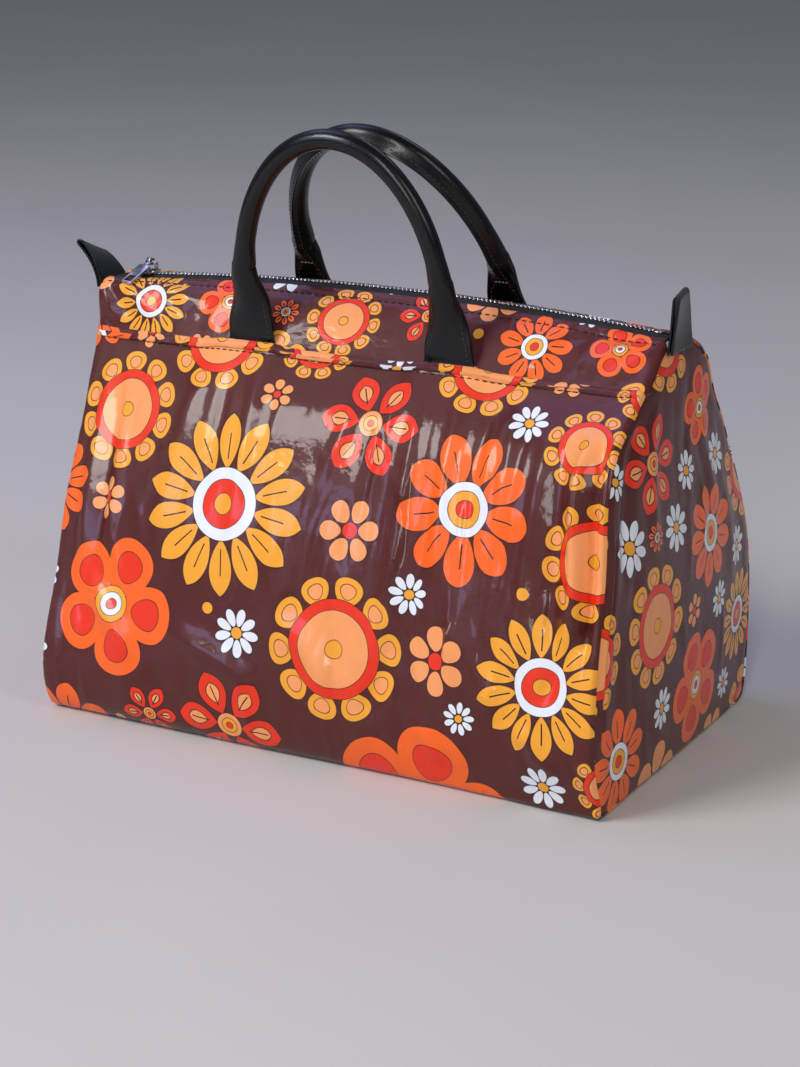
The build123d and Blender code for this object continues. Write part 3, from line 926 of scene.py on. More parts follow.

# %% [markdown]
# The print is a layout of flowers on the flat cloth. The large ones are listed, and a seeded
# loop fills the ground between them with smaller ones, each as large as its gap allows. Every face of
# a panel then keeps the flower that it lies in, and the shader draws it.

# %% The print's layout
PRINT_GAP = 2.2 * MM
LARGEST_DOT = 5
SMALL_SIZES = [
    (34, "rosette"), (31, "clover"), (30, "wheel"), (27, "clover"), (26, "mallow"), (24, "rosette"),
    (20, "clover"), (19, "lily"), (17.5, "star"), (16, "star"), (15, "clover"), (14.5, "star"),
    (13, "star"), (11.5, "clover"), (11, "star"), (10, "wheel"), (4.5, "dot"),
]


def filled_layout(large, u_range, v_range, seed):
    """Flowers as (u, v, radius, make, turn). Small ones fill the ground that the large ones leave."""
    draw = random.Random(seed)
    flowers = [(u * MM, v * MM, r * MM, make, draw.uniform(0, 6.28)) for u, v, r, make in large]
    for size, make in SMALL_SIZES:
        tries = 160 if size < LARGEST_DOT else 1200
        for _ in range(tries):
            u, v = draw.uniform(*u_range), draw.uniform(*v_range)
            room = min((math.hypot(u - f[0], v - f[1]) - f[2] for f in flowers), default=1.0)
            radius = size * MM * draw.uniform(0.92, 1.08)
            if radius + PRINT_GAP < room < radius + 12 * MM:
                flowers.append((u, v, radius, make, draw.uniform(0, 6.28)))
    return flowers


# %% [markdown]
# Shaders can't search a list, so the search is done here. For the middle of each face, the nearest flower
# is found, and its place, radius, make and turn are written on the face as attributes.

# %% Writing the print on a piece
def printed(piece, u, v, flowers):
    """Gives a piece its place on the flat cloth, and each face its flower. u and v are per point."""
    mesh = piece.data
    points = np.stack([u, v, np.zeros_like(u)], axis=1).astype(np.float32)
    cloth = mesh.attributes.new("cloth_place", "FLOAT_VECTOR", "POINT")
    cloth.data.foreach_set("vector", points.reshape(-1))
    starts = np.empty(len(mesh.polygons), dtype=np.int32)
    corners = np.empty(len(mesh.loops), dtype=np.int32)
    mesh.polygons.foreach_get("loop_start", starts)
    mesh.loops.foreach_get("vertex_index", corners)
    middle = (points[corners[starts]] + points[corners[starts + 2]]) / 2
    table = np.array([(f[0], f[1], f[2]) for f in flowers])
    away = np.linalg.norm(middle[:, None, :2] - table[None, :, :2], axis=2) - table[None, :, 2]
    nearest = np.argmin(away, axis=1)
    flower_rows = table[nearest].astype(np.float32)
    makes = np.array([(f[4], MAKE_NAMES.index(f[3]), 0.0) for f in flowers])[nearest].astype(np.float32)
    for label, rows in (("flower", flower_rows), ("flower_make", makes)):
        layer = mesh.attributes.new(label, "FLOAT_VECTOR", "FACE")
        layer.data.foreach_set("vector", np.ascontiguousarray(rows).reshape(-1))
    mesh.materials.clear()
    mesh.materials.append(cloth_finish)


# %% [markdown]
# On the lower panel the large flowers run down the front, under the base and up the back, in
# millimetres along the bag and up the cloth. Their sizes are mixed, so no row or column shows.

# %% Flowers of the lower panel
LARGE_FLOWERS = [
    (-64, 258, 56, "sunburst"), (96, 276, 45, "wheel"), (-150, 306, 38, "rosette"),
    (20, 184, 44, "rosette"), (-138, 186, 44, "mallow"), (76, 92, 58, "mallow"),
    (156, 184, 42, "sunburst"), (-52, 124, 36, "lily"), (22, 318, 34, "lily"),
    (168, 322, 27, "rosette"), (-178, 92, 40, "wheel"), (168, 62, 42, "rosette"),
    (-105, 52, 42, "sunburst"), (-20, 30, 38, "wheel"), (104, -14, 43, "rosette"),
    (-150, -36, 44, "mallow"), (-60, -62, 38, "lily"), (34, -74, 46, "sunburst"),
    (134, -92, 48, "mallow"), (-120, -144, 52, "sunburst"), (-15, -166, 45, "rosette"),
    (90, -190, 52, "wheel"), (172, -176, 30, "lily"), (-164, -246, 38, "lily"),
    (-74, -246, 46, "mallow"), (24, -266, 54, "sunburst"), (122, -290, 44, "rosette"),
    (-124, -322, 34, "rosette"), (-30, -332, 30, "lily"),
]
panel_flowers = filled_layout(LARGE_FLOWERS, (-0.2, 0.2), (-0.37, 0.37), 21)
print("flowers on the lower panel:", len(panel_flowers))

# %% [markdown]
# Every panel ends the same way, so the last steps are one helper: faces turned outwards, thickness,
# shading, and its place in the frame.

# %% Finishing a panel
def outside_out(piece, inner):
    """Turns a panel's faces so that most of them look away from a place inside the bag."""
    mesh = piece.data
    centres = np.empty(len(mesh.polygons) * 3)
    facing = np.empty(len(mesh.polygons) * 3)
    mesh.polygons.foreach_get("center", centres)
    mesh.polygons.foreach_get("normal", facing)
    away = centres.reshape(-1, 3) - np.array(inner)
    if np.median((away * facing.reshape(-1, 3)).sum(axis=1)) < 0:
        edited(piece, (bpy.ops.mesh.flip_normals, {}))


def finished_cloth(piece, node, inner):
    outside_out(piece, inner)
    thickened(piece, CLOTH)
    smooth(piece, 50)
    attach(piece, "bag")
    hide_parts(node)
    print(piece.name, len(piece.data.polygons), "faces")


# %% [markdown]
# The panel becomes a piece: its grid is laid, printed, and given its thickness. A solidify modifier adds
# the inner face, because real coated cloth is about a millimetre thick and its hems show that.

# %% Lower panel: the piece
v_body = panel_v[body]
v_full = np.concatenate([v_body[:1] + front_turned[:, None], v_body, v_body[-1:] - back_turned[::-1, None]])
u_full = np.repeat(panel_x[None, :], len(v_full), axis=0)
lower_panel = wrapped("lower_panel_cloth", panel_full)
printed(lower_panel, u_full.reshape(-1), v_full.reshape(-1), panel_flowers)
finished_cloth(lower_panel, "lower_panel", (0, 0, 0.1))

# %% [markdown]
# The yokes are the two bands between the lapped edges and the zip. Each turns under in a fold beside
# the teeth, with a row of topstitching close to the fold. Near its ends the band is pinched by the
# folded tab, so short creases fan out from there.

# %% Yokes
YOKE_CORE = (0.0, 0.19)
YOKE_ROWS = 44
YOKE_COLUMNS = 260
YOKE_STITCH = 7.0 * MM
YOKE_SET_BACK = 1.6 * MM
FOLD_RISE = 0.3 * MM
YOKE_FLOWERS = [
    (-150, 20, 27, "sunburst"), (-96, 18, 21, "mallow"), (-20, 24, 24, "rosette"),
    (34, 14, 20, "lily"), (110, 24, 25, "wheel"), (164, 16, 20, "mallow"),
]
yoke_x = column_places(YOKE_COLUMNS)
yoke_grids = {}


def yoke_creases(seed):
    creases = in_mm(
        (-0.186, 0.002, -0.140, 0.034, 4, 1.6), (-0.186, 0.006, -0.158, 0.040, 3, -1.2),
        (-0.180, 0.000, -0.112, 0.020, 4, 1.2), (-0.186, 0.012, -0.172, 0.044, 3, 1.2),
        (0.184, 0.004, 0.142, 0.034, 4.5, 1.6), (0.184, 0.000, 0.120, 0.018, 4, -1.2),
        (0.184, 0.010, 0.160, 0.042, 3.5, 1.4), (0.150, 0.006, 0.134, 0.040, 4, -1),
        (0.120, 0.010, 0.112, 0.042, 5, 1), (-0.100, 0.008, -0.108, 0.042, 4, 0.9),
    )
    return creases + scattered_creases(
        seed, 36, (-0.18, 0.18), (0.005, 0.03), (0.015, 0.04),
        (1.5 * MM, 4 * MM), (0.15 * MM, 0.5 * MM), 1.2,
    )


# %% [markdown]
# Both yokes are made by one loop. Each starts a little back from the teeth, so the metal stays in view,
# and its last rows carry no creases, because they lie inside the lapped seam.

# %% Yokes: the pieces
for side, hit, top, bottom in (
    ("front", math.radians(120), math.radians(88), math.radians(185)),
    ("back", math.radians(60), math.radians(92), math.radians(-5)),
):
    shape = shape_of("yoke_" + side)
    lines = []
    for x in yoke_x:
        inside_x = float(np.clip(x, -END_X + 0.3 * MM, END_X - 0.3 * MM))
        start = edge_angle(shape, inside_x, YOKE_CORE, hit, top)
        end = edge_angle(shape, inside_x, YOKE_CORE, hit, bottom)
        line = section(shape, inside_x, YOKE_CORE, start, end, 120)
        line = resampled(line, np.linspace(YOKE_SET_BACK / along_lengths(line)[-1], 1, 120))
        line[:, 0] += x - inside_x
        lines.append(line)
    shares = np.linspace(0, 1, YOKE_ROWS) ** 1.15
    yoke = np.stack([resampled(line, shares) for line in lines], axis=1)
    lengths = np.array([along_lengths(line)[-1] for line in lines])
    yoke_v = shares[:, None] * lengths[None, :]
    yoke_u = np.repeat(yoke_x[None, :], YOKE_ROWS, axis=0)
    away = yoke - np.array([0, 0, YOKE_CORE[1]])
    away[..., 0] = 0
    normal = normals_of(yoke, away)
    gap = END_X - np.abs(yoke_u)
    rise = creased(yoke_u, yoke_v, yoke_creases(17 if side == "front" else 18))
    rise *= smoothstep(gap, 1.5 * MM, 8 * MM) * smoothstep(yoke_v, 1 * MM, 6 * MM)
    rise *= 1 - smoothstep(yoke_v, lengths[None, :] - 26 * MM, lengths[None, :] - 16 * MM)
    rise -= STITCH_DIP * hump(yoke_v, YOKE_STITCH, 1.2 * MM)
    fold_bulk = 1 - smoothstep(yoke_v, YOKE_STITCH - 2 * MM, YOKE_STITCH)
    rise += FOLD_RISE * fold_bulk * (1 + seam_ripple(yoke_u, 23))
    rise += SEAM_RISE * hump(gap, 5 * MM, 4 * MM)
    rise -= end_roll(gap, SEAM_RADIUS)
    yoke = yoke + normal * rise[..., None]
    normal = normals_of(yoke, away)
    hemmed, turned, kept = with_hem(yoke, normal, HEM_RADIUS, 5 * MM)
    flat_v = np.concatenate([yoke_v[kept : kept + 1] - turned[:, None], yoke_v[kept:]])
    piece = wrapped("yoke_%s_cloth" % side, hemmed)
    flat_u = np.repeat(yoke_x[None, :], len(hemmed), axis=0)
    layout = filled_layout(YOKE_FLOWERS, (-0.2, 0.2), (-0.01, 0.07), 31 if side == "front" else 32)
    printed(piece, flat_u.reshape(-1), flat_v.reshape(-1), layout)
    finished_cloth(piece, "yoke_" + side, (0, 0, 0.15))
    yoke_grids[side] = (yoke, normal, lengths)

# %% [markdown]
# A gusset closes each end. Its two long seams follow the end columns of the panels, so the cloth meets
# along one line. Between them it swells outwards, most at mid height, and its edges roll into the seam.

# %% Gussets
GUSSET_ROWS = 130
GUSSET_COLUMNS = 120
GUSSET_BULGE = {"left": 9.0 * MM, "right": 8.0 * MM}
GUSSET_TOP = 247.0 * MM
EDGE_RISE = 1.2 * MM
WELT_VALLEY = 2.0 * MM
WELT_RIDGE = 1.4 * MM
GUSSET_INSET = 1.0 * MM
GUSSET_FLOWERS = [
    (-40, 190, 30, "lily"), (36, 130, 34, "wheel"), (-46, 96, 36, "rosette"), (20, 40, 36, "mallow"),
    (92, 62, 30, "sunburst"), (-90, 30, 32, "wheel"), (30, 210, 22, "mallow"),
]


def seam_line(side, column):
    """Places down one seam of a gusset, from the zip's fold to the foot of the panel."""
    upper = yoke_grids[side][0][:, column]
    lower = panel[:, column] if side == "front" else panel[::-1, column]
    upper = upper[upper[:, 2] > lower[0, 2] + 1 * MM]
    foot = int(np.argmax(lower[:, 2] < lower[:, 2].min() + 0.3 * MM))
    return np.concatenate([upper, lower[: foot + 1]])


gusset_creases = {
    "left": scattered_creases(
        41, 30, (-0.09, 0.09), (0.05, 0.24), (0.03, 0.09), (3 * MM, 7 * MM), (0.3 * MM, 1.2 * MM)
    ),
    "right": in_mm(
        (-0.052, 0.235, -0.086, 0.120, 6, -3.2), (-0.030, 0.240, -0.050, 0.130, 6, 1.8),
        (0.012, 0.245, 0.006, 0.150, 5, -1.4), (0.030, 0.240, 0.050, 0.140, 6, 1.6),
        (-0.090, 0.110, -0.098, 0.030, 7, -1.6), (0.060, 0.180, 0.080, 0.080, 7, 1.2),
        (-0.070, 0.060, -0.020, 0.020, 7, 1.2),
    ) + scattered_creases(
        42, 34, (-0.09, 0.09), (0.05, 0.24), (0.03, 0.09), (2.5 * MM, 6 * MM), (0.25 * MM, 0.9 * MM)
    ),
}

# %% [markdown]
# The grid is stretched from the front seam to the back seam, row by row, and then pushed outwards. On
# the right end a welt runs beside the front seam, where the seam allowance lies under the cloth.

# %% Gussets: the pieces
for end, column, out in (("left", 0, -1), ("right", -1, 1)):
    shares = np.linspace(0, 1, GUSSET_ROWS)
    front_seam = resampled(seam_line("front", column), shares)
    back_seam = resampled(seam_line("back", column), shares)
    across = np.linspace(0, 1, GUSSET_COLUMNS)
    ease = 0.5 - 0.5 * np.cos(across * math.pi)
    across = 0.6 * across + 0.4 * ease
    gusset = front_seam[:, None] + (back_seam - front_seam)[:, None] * across[None, :, None]
    width = np.linalg.norm(back_seam - front_seam, axis=1)
    height = gusset[..., 2]
    flat_u = (across[None, :] - 0.5) * width[:, None]
    flat_v = np.repeat(height.mean(axis=1)[:, None], GUSSET_COLUMNS, axis=1)
    edge_gap = np.minimum(across, 1 - across)[None, :] * width[:, None]
    swell = np.clip(np.sin(math.pi * np.clip(height / GUSSET_TOP, 0, 1)), 0, 1) ** 0.5
    bow = np.clip(1 - (2 * across[None, :] - 1) ** 2, 0, 1) ** 0.75
    push = GUSSET_BULGE[end] * swell * bow
    push += creased(flat_u, flat_v, gusset_creases[end]) * smoothstep(edge_gap, 2 * MM, 14 * MM) * swell
    push += (
        EDGE_RISE * smoothstep(edge_gap, 0.0, 5 * MM) * (1 - smoothstep(edge_gap, 8 * MM, 20 * MM)) * swell
    )
    if end == "right":
        welt = smoothstep(flat_v, 0.04, 0.06) * (1 - smoothstep(flat_v, 0.145, 0.165))
        welt = welt * (across < 0.5)[None, :]
        push -= WELT_VALLEY * welt * hump(edge_gap, 9.0 * MM, 1.5 * MM)
        push += WELT_RIDGE * welt * hump(edge_gap, 4.8 * MM, 2.2 * MM)
    push -= GUSSET_INSET
    gusset[..., 0] += out * push
    gusset[..., 2] = np.maximum(gusset[..., 2], 0.05 * MM)
    piece = wrapped("gusset_%s_cloth" % end, gusset)
    layout = filled_layout(GUSSET_FLOWERS, (-0.13, 0.13), (-0.01, 0.26), 51 if end == "left" else 52)
    printed(piece, flat_u.reshape(-1), flat_v.reshape(-1), layout)
    finished_cloth(piece, "gusset_" + end, (0, 0, 0.1))

# %% [markdown]
# Topstitching is modelled as real stitches: one short thread, sunk at both ends, copied along the line.
# A stitch is a small stretched ball with blunt ends, and its copies are laid on the cloth's own surface.

# %% Stitch helper
STITCH_LENGTH = 4.8 * MM
THREAD = 0.42 * MM
THREAD_SINK = 0.15 * MM


def stitch_row(name, places, normals, node_slot, material, length=STITCH_LENGTH, thread=THREAD):
    """A row of stitches along a line of places, each lying on the surface there."""
    lengths = along_lengths(places)
    count = max(int(lengths[-1] / length), 1)
    bpy.ops.object.select_all(action="DESELECT")
    bpy.ops.mesh.primitive_uv_sphere_add(segments=8, ring_count=6, radius=1.0)
    seed_piece = bpy.context.object
    seed_points = np.array([tuple(v.co) for v in seed_piece.data.vertices])
    seed_faces = [tuple(p.vertices) for p in seed_piece.data.polygons]
    bpy.data.objects.remove(seed_piece)
    points, faces = [], []
    for i in range(count):
        span = np.array([(i + 0.14) * length, (i + 0.86) * length])
        ends = np.stack([np.interp(span, lengths, places[:, k]) for k in range(3)], axis=1)
        up = np.array([np.interp(span.mean(), lengths, normals[:, k]) for k in range(3)])
        up /= np.linalg.norm(up)
        forward = ends[1] - ends[0]
        size = np.linalg.norm(forward)
        if size < 0.5 * MM:
            continue
        forward /= size
        beside = np.cross(up, forward)
        centre = ends.mean(axis=0) + up * (thread - THREAD_SINK)
        shaped = seed_points.copy()
        shaped[:, 2] = np.sign(shaped[:, 2]) * np.abs(shaped[:, 2]) ** 0.8
        arch = -0.35 * thread * (shaped[:, 2] ** 2) * 2
        laid = (
            centre + np.outer(shaped[:, 2] * size / 2, forward) + np.outer(shaped[:, 0] * thread, beside)
            + np.outer(shaped[:, 1] * thread + arch, up)
        )
        start = len(points) * len(seed_points)
        faces += [tuple(start + k for k in face) for face in seed_faces]
        points.append(laid)
    mesh = bpy.data.meshes.new(name)
    mesh.from_pydata(np.concatenate(points).tolist(), [], faces)
    piece = bpy.data.objects.new(name, mesh)
    bpy.context.scene.collection.objects.link(piece)
    mesh.materials.append(material)
    smooth(piece, 60)
    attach(piece, "bag")
    print(name, count, "stitches")


# %% [markdown]
# A row of topstitching keeps one distance from an edge, so its line is read off the finished grid at that
# distance, column by column.

# %% Lines for topstitching
def grid_row(grid, normals, distances, wanted):
    """The places and normals at one distance down every column of a grid."""
    places, facing = [], []
    for j in range(grid.shape[1]):
        column = distances[:, j]
        places.append([np.interp(wanted, column, grid[:, j, k]) for k in range(3)])
        facing.append([np.interp(wanted, column, normals[:, j, k]) for k in range(3)])
    return np.array(places), np.array(facing)


# %% [markdown]
# One row runs along each lapped edge, where it holds the yoke and the handle ends. Another runs beside
# the zip, through the yoke's fold and the tape below it. Each row sits in the dip it pulls in the cloth.

# %% Topstitching on the panels
for side, grid, facing, distance in (
    ("front", panel, panel_normal, panel_v[:1] - panel_v),
    ("back", panel[::-1], panel_normal[::-1], panel_v[::-1] - panel_v[-1:]),
):
    places, facing_row = grid_row(grid, facing, distance, STITCH_DOWN)
    stitch_row("lap_stitches_" + side, places[4:-4], facing_row[4:-4], "printed_cloth", dark_thread)
for side in ("front", "back"):
    yoke, normal, lengths = yoke_grids[side]
    shares = np.linspace(0, 1, YOKE_ROWS) ** 1.15
    places, facing_row = grid_row(yoke, normal, shares[:, None] * lengths[None, :], YOKE_STITCH)
    stitch_row("zip_stitches_" + side, places[5:-5], facing_row[5:-5], "printed_cloth", dark_thread)

# %% [markdown]
# Each handle is one strip of leather. In the middle it is rolled round a core and sewn along a narrow
# flange. Towards its ends the roll opens like a spoon into a flat foot, which the lapped seam holds.
# One grid is bent along the whole path, and its cross-section changes from foot to roll and back.

# %% Handles: sizes and feet
HANDLES = {
    "front": dict(centre=-11.6, height=128.0, arch=95.0, tilt=8.6, stretch=2.6, seam=1),
    "back": dict(centre=-3.0, height=150.0, arch=103.0, tilt=32.8, stretch=3.2, seam=-1),
}
HANDLE_HALF_SPAN = 66.2 * MM
FOOT_HALF_SPAN = 67.4 * MM
HANDLE_ROUND = 6.0 * MM
ARCH_START = math.radians(8.0)
ROLL_HALF = 6.0 * MM
FOOT_THICK = 1.2 * MM
FOOT_HIDDEN = 10.0 * MM
FLANGE = 4.2 * MM
HANDLE_AROUND = 64
STRIP_INSET = 2.8 * MM
FOOT_BLEND = 32 * MM
FOOT_TURN = 14 * MM
FOOT_SEEN = 26 * MM
SEAM_SPREAD = 0.36
OPEN_UNTIL = 0.6
LEATHER_STITCH = {"length": 3.4 * MM, "thread": 0.34 * MM}


def lap_place(side, x, along):
    """Middle of a handle foot at a distance below the lapped edge, from the panel's edge column."""
    columns = panel if side == "front" else panel[::-1]
    j = int(np.argmin(np.abs(columns[0, :, 0] - x)))
    edge = columns[0, j]
    down = columns[6, j] - columns[0, j]
    down /= np.linalg.norm(down)
    inward = -(panel_normal if side == "front" else panel_normal[::-1])[3, j]
    place = edge + down * along + inward * 3.0 * MM
    place[0] = x
    return place, down, -inward


# %% [markdown]
# The path starts inside the lapped seam, leans into the handle's plane, and rises into a half ellipse.
# Beside each place it keeps the way that the strip's thickness points, so the strip can turn as it rises.

# %% Handles: path
def handle_path(side):
    """Places along a handle from one hidden end to the other, with its two cross directions."""
    make = HANDLES[side]
    centre, height, arch = make["centre"] * MM, make["height"] * MM, make["arch"] * MM
    tilt = math.radians(make["tilt"])
    up = np.array([0, -math.sin(tilt), math.cos(tilt)])
    plane_normal = np.array([0, math.cos(tilt), math.sin(tilt)])
    feet = [lap_place(side, centre + way * FOOT_HALF_SPAN, 0) for way in (1, -1)]
    low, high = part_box("handle_" + side)
    base = np.array([
        centre,
        low.y + HANDLE_ROUND + height * math.sin(tilt),
        high.z - HANDLE_ROUND - height * math.cos(tilt),
    ])
    height += make["stretch"] * MM
    spring = height - arch
    roll_height = spring + arch * math.sin(ARCH_START)
    places, thick_way, heights = [], [], []
    for way, (foot, down, facing) in zip((1, -1), feet):
        leg, leg_way, leg_height = [], [], []
        straight = np.array([base[0] + way * HANDLE_HALF_SPAN, base[1], base[2]])
        offset = foot - straight
        outer = facing if side == "back" else -facing
        for far in np.linspace(FOOT_HIDDEN, 2 * MM, 5):
            leg.append(foot + down * far)
            leg_way.append(outer)
            leg_height.append(-far)
        for rise in np.linspace(0, roll_height, 34)[1:]:
            fade = 1 - smoothstep(rise, 0, FOOT_BLEND)
            leg.append(straight + up * rise + offset * fade)
            bend = smoothstep(rise, 0, FOOT_TURN)
            now = outer * (1 - bend) + plane_normal * bend
            leg_way.append(now / np.linalg.norm(now))
            leg_height.append(rise)
        if way == 1:
            places, thick_way, heights = leg, leg_way, leg_height
            sweep = np.linspace(ARCH_START, math.pi - ARCH_START, 120)
            for angle in sweep[1:-1]:
                places.append(base + np.array([1, 0, 0]) * HANDLE_HALF_SPAN * math.cos(angle)
                              + up * (spring + arch * math.sin(angle)))
                thick_way.append(plane_normal)
                heights.append(spring + arch * math.sin(angle))
        else:
            places += leg[::-1]
            thick_way += leg_way[::-1]
            heights += leg_height[::-1]
    return np.array(places), np.array(thick_way), np.array(heights), roll_height


# %% [markdown]
# The strip's cross-section is a rounded slab that thickens into a ring. While it closes, it curls, and
# the sewn flange grows out of the ring on the side of the seam.

# %% Handles: section
def strip_width(share):
    """Full width of the strip, from the lapped edge (0) to the place where it is a closed roll (1)."""
    return np.interp(share, [0, 0.25, 0.5, 0.75, 1.0, 1.3], [33.0, 30.0, 25.0, 19.5, 15.0, 12.0]) * MM


def handle_section(closed, half_width, seam):
    """Cross-section of the strip, from a flat foot (0) to a closed roll with its flange (1)."""
    turns = np.linspace(0, 2 * math.pi, HANDLE_AROUND + 1)
    power = 2 / 7 + closed * 5 / 7
    half_thick = FOOT_THICK + (ROLL_HALF - FOOT_THICK) * closed**1.3
    wide = half_width * np.sign(np.cos(turns)) * np.abs(np.cos(turns)) ** power
    thick = half_thick * np.sign(np.sin(turns)) * np.abs(np.sin(turns)) ** power
    curl = 5.0 * MM * math.sin(math.pi * min(closed * 1.1 + 0.08, 1.0)) * (wide / half_width) ** 2
    groove = hump(np.abs(wide) - half_width + STRIP_INSET, 0, 0.8 * MM) * (1 - closed)
    thick = thick + seam * curl - np.sign(np.sin(turns)) * 0.35 * MM * groove
    towards = hump(np.mod(turns - seam * math.pi / 2 + math.pi, 2 * math.pi), math.pi, 0.42)
    towards = towards * smoothstep(closed, 0.7, 1.0)
    return wide * (1 - 0.45 * towards), thick + seam * FLANGE * towards


# %% [markdown]
# Each handle is then laid as one closed tube of leather, with its two hidden ends filled. The stitching
# follows the strip's edges on both feet, and along the flange where the roll is sewn shut. A short bar of
# lighter thread ends that seam where the roll opens, as it does on a sewn handle.

# %% Handles: the pieces and their stitching
def handle_piece(side):
    make = HANDLES[side]
    places, thick_way, heights, roll_height = handle_path(side)
    ahead = np.gradient(places, axis=0)
    ahead /= np.linalg.norm(ahead, axis=1, keepdims=True)
    wide_way = np.cross(ahead, thick_way)
    wide_way /= np.linalg.norm(wide_way, axis=1, keepdims=True)
    true_thick = np.cross(wide_way, ahead)
    rolled = smoothstep(heights, 0.12 * roll_height, 1.12 * roll_height)
    widths = strip_width(np.clip(heights / roll_height, 0, 2))
    grid = np.empty((len(places), HANDLE_AROUND + 1, 3))
    for i in range(len(places)):
        wide, thick = handle_section(float(rolled[i]), widths[i] / 2, make["seam"])
        grid[i] = places[i] + np.outer(wide, wide_way[i]) + np.outer(thick, true_thick[i])
    piece = wrapped("handle_%s_leather" % side, grid, closed=True)
    edited(
        piece,
        (bpy.ops.mesh.select_all, {"action": "DESELECT"}),
        (bpy.ops.mesh.select_non_manifold, {"extend": False}),
        (bpy.ops.mesh.edge_face_add, {}),
        (bpy.ops.mesh.select_all, {"action": "SELECT"}),
        (bpy.ops.mesh.normals_make_consistent, {"inside": False}),
    )
    piece.data.materials.append(leather_finish)
    smooth(piece, 50)
    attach(piece, "bag")
    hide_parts("handle_" + side)
    print(piece.name, len(piece.data.polygons), "faces")
    return grid, heights, true_thick, wide_way, rolled


handle_grids = {side: handle_piece(side) for side in HANDLES}


# %% [markdown]
# A stitch row keeps its distance from the strip's edge on the open foot. Past the place where the roll
# closes, it moves to the side of the flange, which is the same edge, folded over.

# %% Handles: rows of stitches
def strip_stitches(side):
    """Stitches just inside both edges of the strip, on its outer face and on its inner face."""
    make = HANDLES[side]
    grid, heights, true_thick, wide_way, rolled = handle_grids[side]
    seam = make["seam"]
    turns = np.linspace(0, 2 * math.pi, HANDLE_AROUND + 1)
    visible = heights > 1 * MM
    for face, way in ((1, 1), (1, -1), (-1, 1), (-1, -1)):
        line, facing = [], []
        for i in np.nonzero(visible)[0]:
            ring = grid[i]
            middle = ring[:-1].mean(axis=0)
            wide = (ring - middle) @ wide_way[i]
            thick = (ring - middle) @ true_thick[i]
            edge = wide.max() if way == 1 else wide.min()
            if rolled[i] < OPEN_UNTIL:
                wanted = edge - way * STRIP_INSET
                on_face = thick * face >= np.median(thick * face)
                k = int(np.argmin(np.where(on_face, np.abs(wide - wanted), 1.0)))
                out = true_thick[i] * face
            else:
                wanted_turn = seam * math.pi / 2 + way * SEAM_SPREAD
                k = int(np.argmin(np.abs(np.mod(turns - wanted_turn + math.pi, 2 * math.pi) - math.pi)))
                out = wide_way[i] * (1 if wide[k] > 0 else -1)
            line.append(ring[k])
            facing.append(out)
        yield np.array(line), np.array(facing), face, way


for side in HANDLES:
    seam = HANDLES[side]["seam"]
    for line, facing, face, way in strip_stitches(side):
        if face == seam:
            label = "handle_%s_stitches_%s" % (side, "right" if way == 1 else "left")
            stitch_row(label, line, facing, "black_leather", leather_thread, **LEATHER_STITCH)
        else:
            heights = handle_grids[side][1]
            low = heights[heights > 1 * MM] < FOOT_SEEN
            first_leg = np.arange(len(low)) < len(low) // 2
            for number, half in enumerate((low & first_leg, low & ~first_leg)):
                label = "foot_%s_stitches_%s_%d" % (side, "right" if way == 1 else "left", number)
                stitch_row(
                    label, line[half], facing[half], "black_leather", leather_thread, **LEATHER_STITCH
                )


# %% [markdown]
# The knots are short rows across the flange. They lie where the roll is almost closed, on each leg.

# %% Handles: knots
def opening_knots(side):
    """A light bar of thread across the seam, where the roll of each leg opens into the foot."""
    grid, heights, true_thick, _, rolled = handle_grids[side]
    seam = HANDLES[side]["seam"]
    crest = HANDLE_AROUND // 4 if seam == 1 else 3 * HANDLE_AROUND // 4
    for name, leg in (("right", range(len(grid) // 2)), ("left", range(len(grid) // 2, len(grid)))):
        i = min(leg, key=lambda n: abs(rolled[n] - 0.72) + (heights[n] < 0))
        across = grid[i, crest - 4 : crest + 5]
        facing = np.repeat(true_thick[i][None] * seam, len(across), axis=0)
        label = "handle_%s_knot_%s" % (side, name)
        stitch_row(label, across, facing, "black_leather", light_thread, 2.2 * MM, 0.4 * MM)


for side in HANDLES:
    opening_knots(side)

# %% [markdown]
# At each end of the zip sits a leather strip, folded double over its top. The right one stands upright.
# The left one curls outwards and twists a little. Both are a bent strip with a rounded fold.

# %% End tabs
TAB_HALF = 15.5 * MM
TAB_LAYER = 1.3 * MM
TAB_GAP = 0.9 * MM
TAB_RISE = 31.6 * MM
TAB_TURNS = {
    # For its front edge and its back edge: the lean at the foot, the lean at the top, and the rise kept.
    "left": ((0, 50, 1.0), (24, 66, 0.72)),
    "right": ((-6, -5, 1.0), (5, 8, 1.0)),
}


def tab_centre_line(end):
    """Where a point of the strip lies, from its distance up the strip and its place across it."""
    low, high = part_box("zip_tab_" + end)
    foot_x = (low.x + high.x) / 2 if end == "right" else high.x - 1.65 * MM
    foot_z = low.z + 1.5 * MM
    front_edge, back_edge = TAB_TURNS[end]

    def place(far, across):
        share = (across + 1) / 2
        foot_lean, top_lean, kept = [a + (b - a) * share for a, b in zip(front_edge, back_edge)]
        far = far * kept
        steps = np.linspace(0, far, 24)
        bent = np.clip(steps / (TAB_RISE * kept), 0, 1) ** 0.8
        lean = np.radians(foot_lean + (top_lean - foot_lean) * bent)
        x = foot_x - float(np.sin(lean[:-1]).sum()) * far / 23
        z = foot_z + float(np.cos(lean[:-1]).sum()) * far / 23
        return np.array([x, across * TAB_HALF, z]), np.array([math.cos(lean[-1]), 0, math.sin(lean[-1])])
    return place


# %% [markdown]
# The strip runs up the outside, over the fold and down the inside. It opens a little towards its top,
# because the fold is rounder than the gap at its foot.

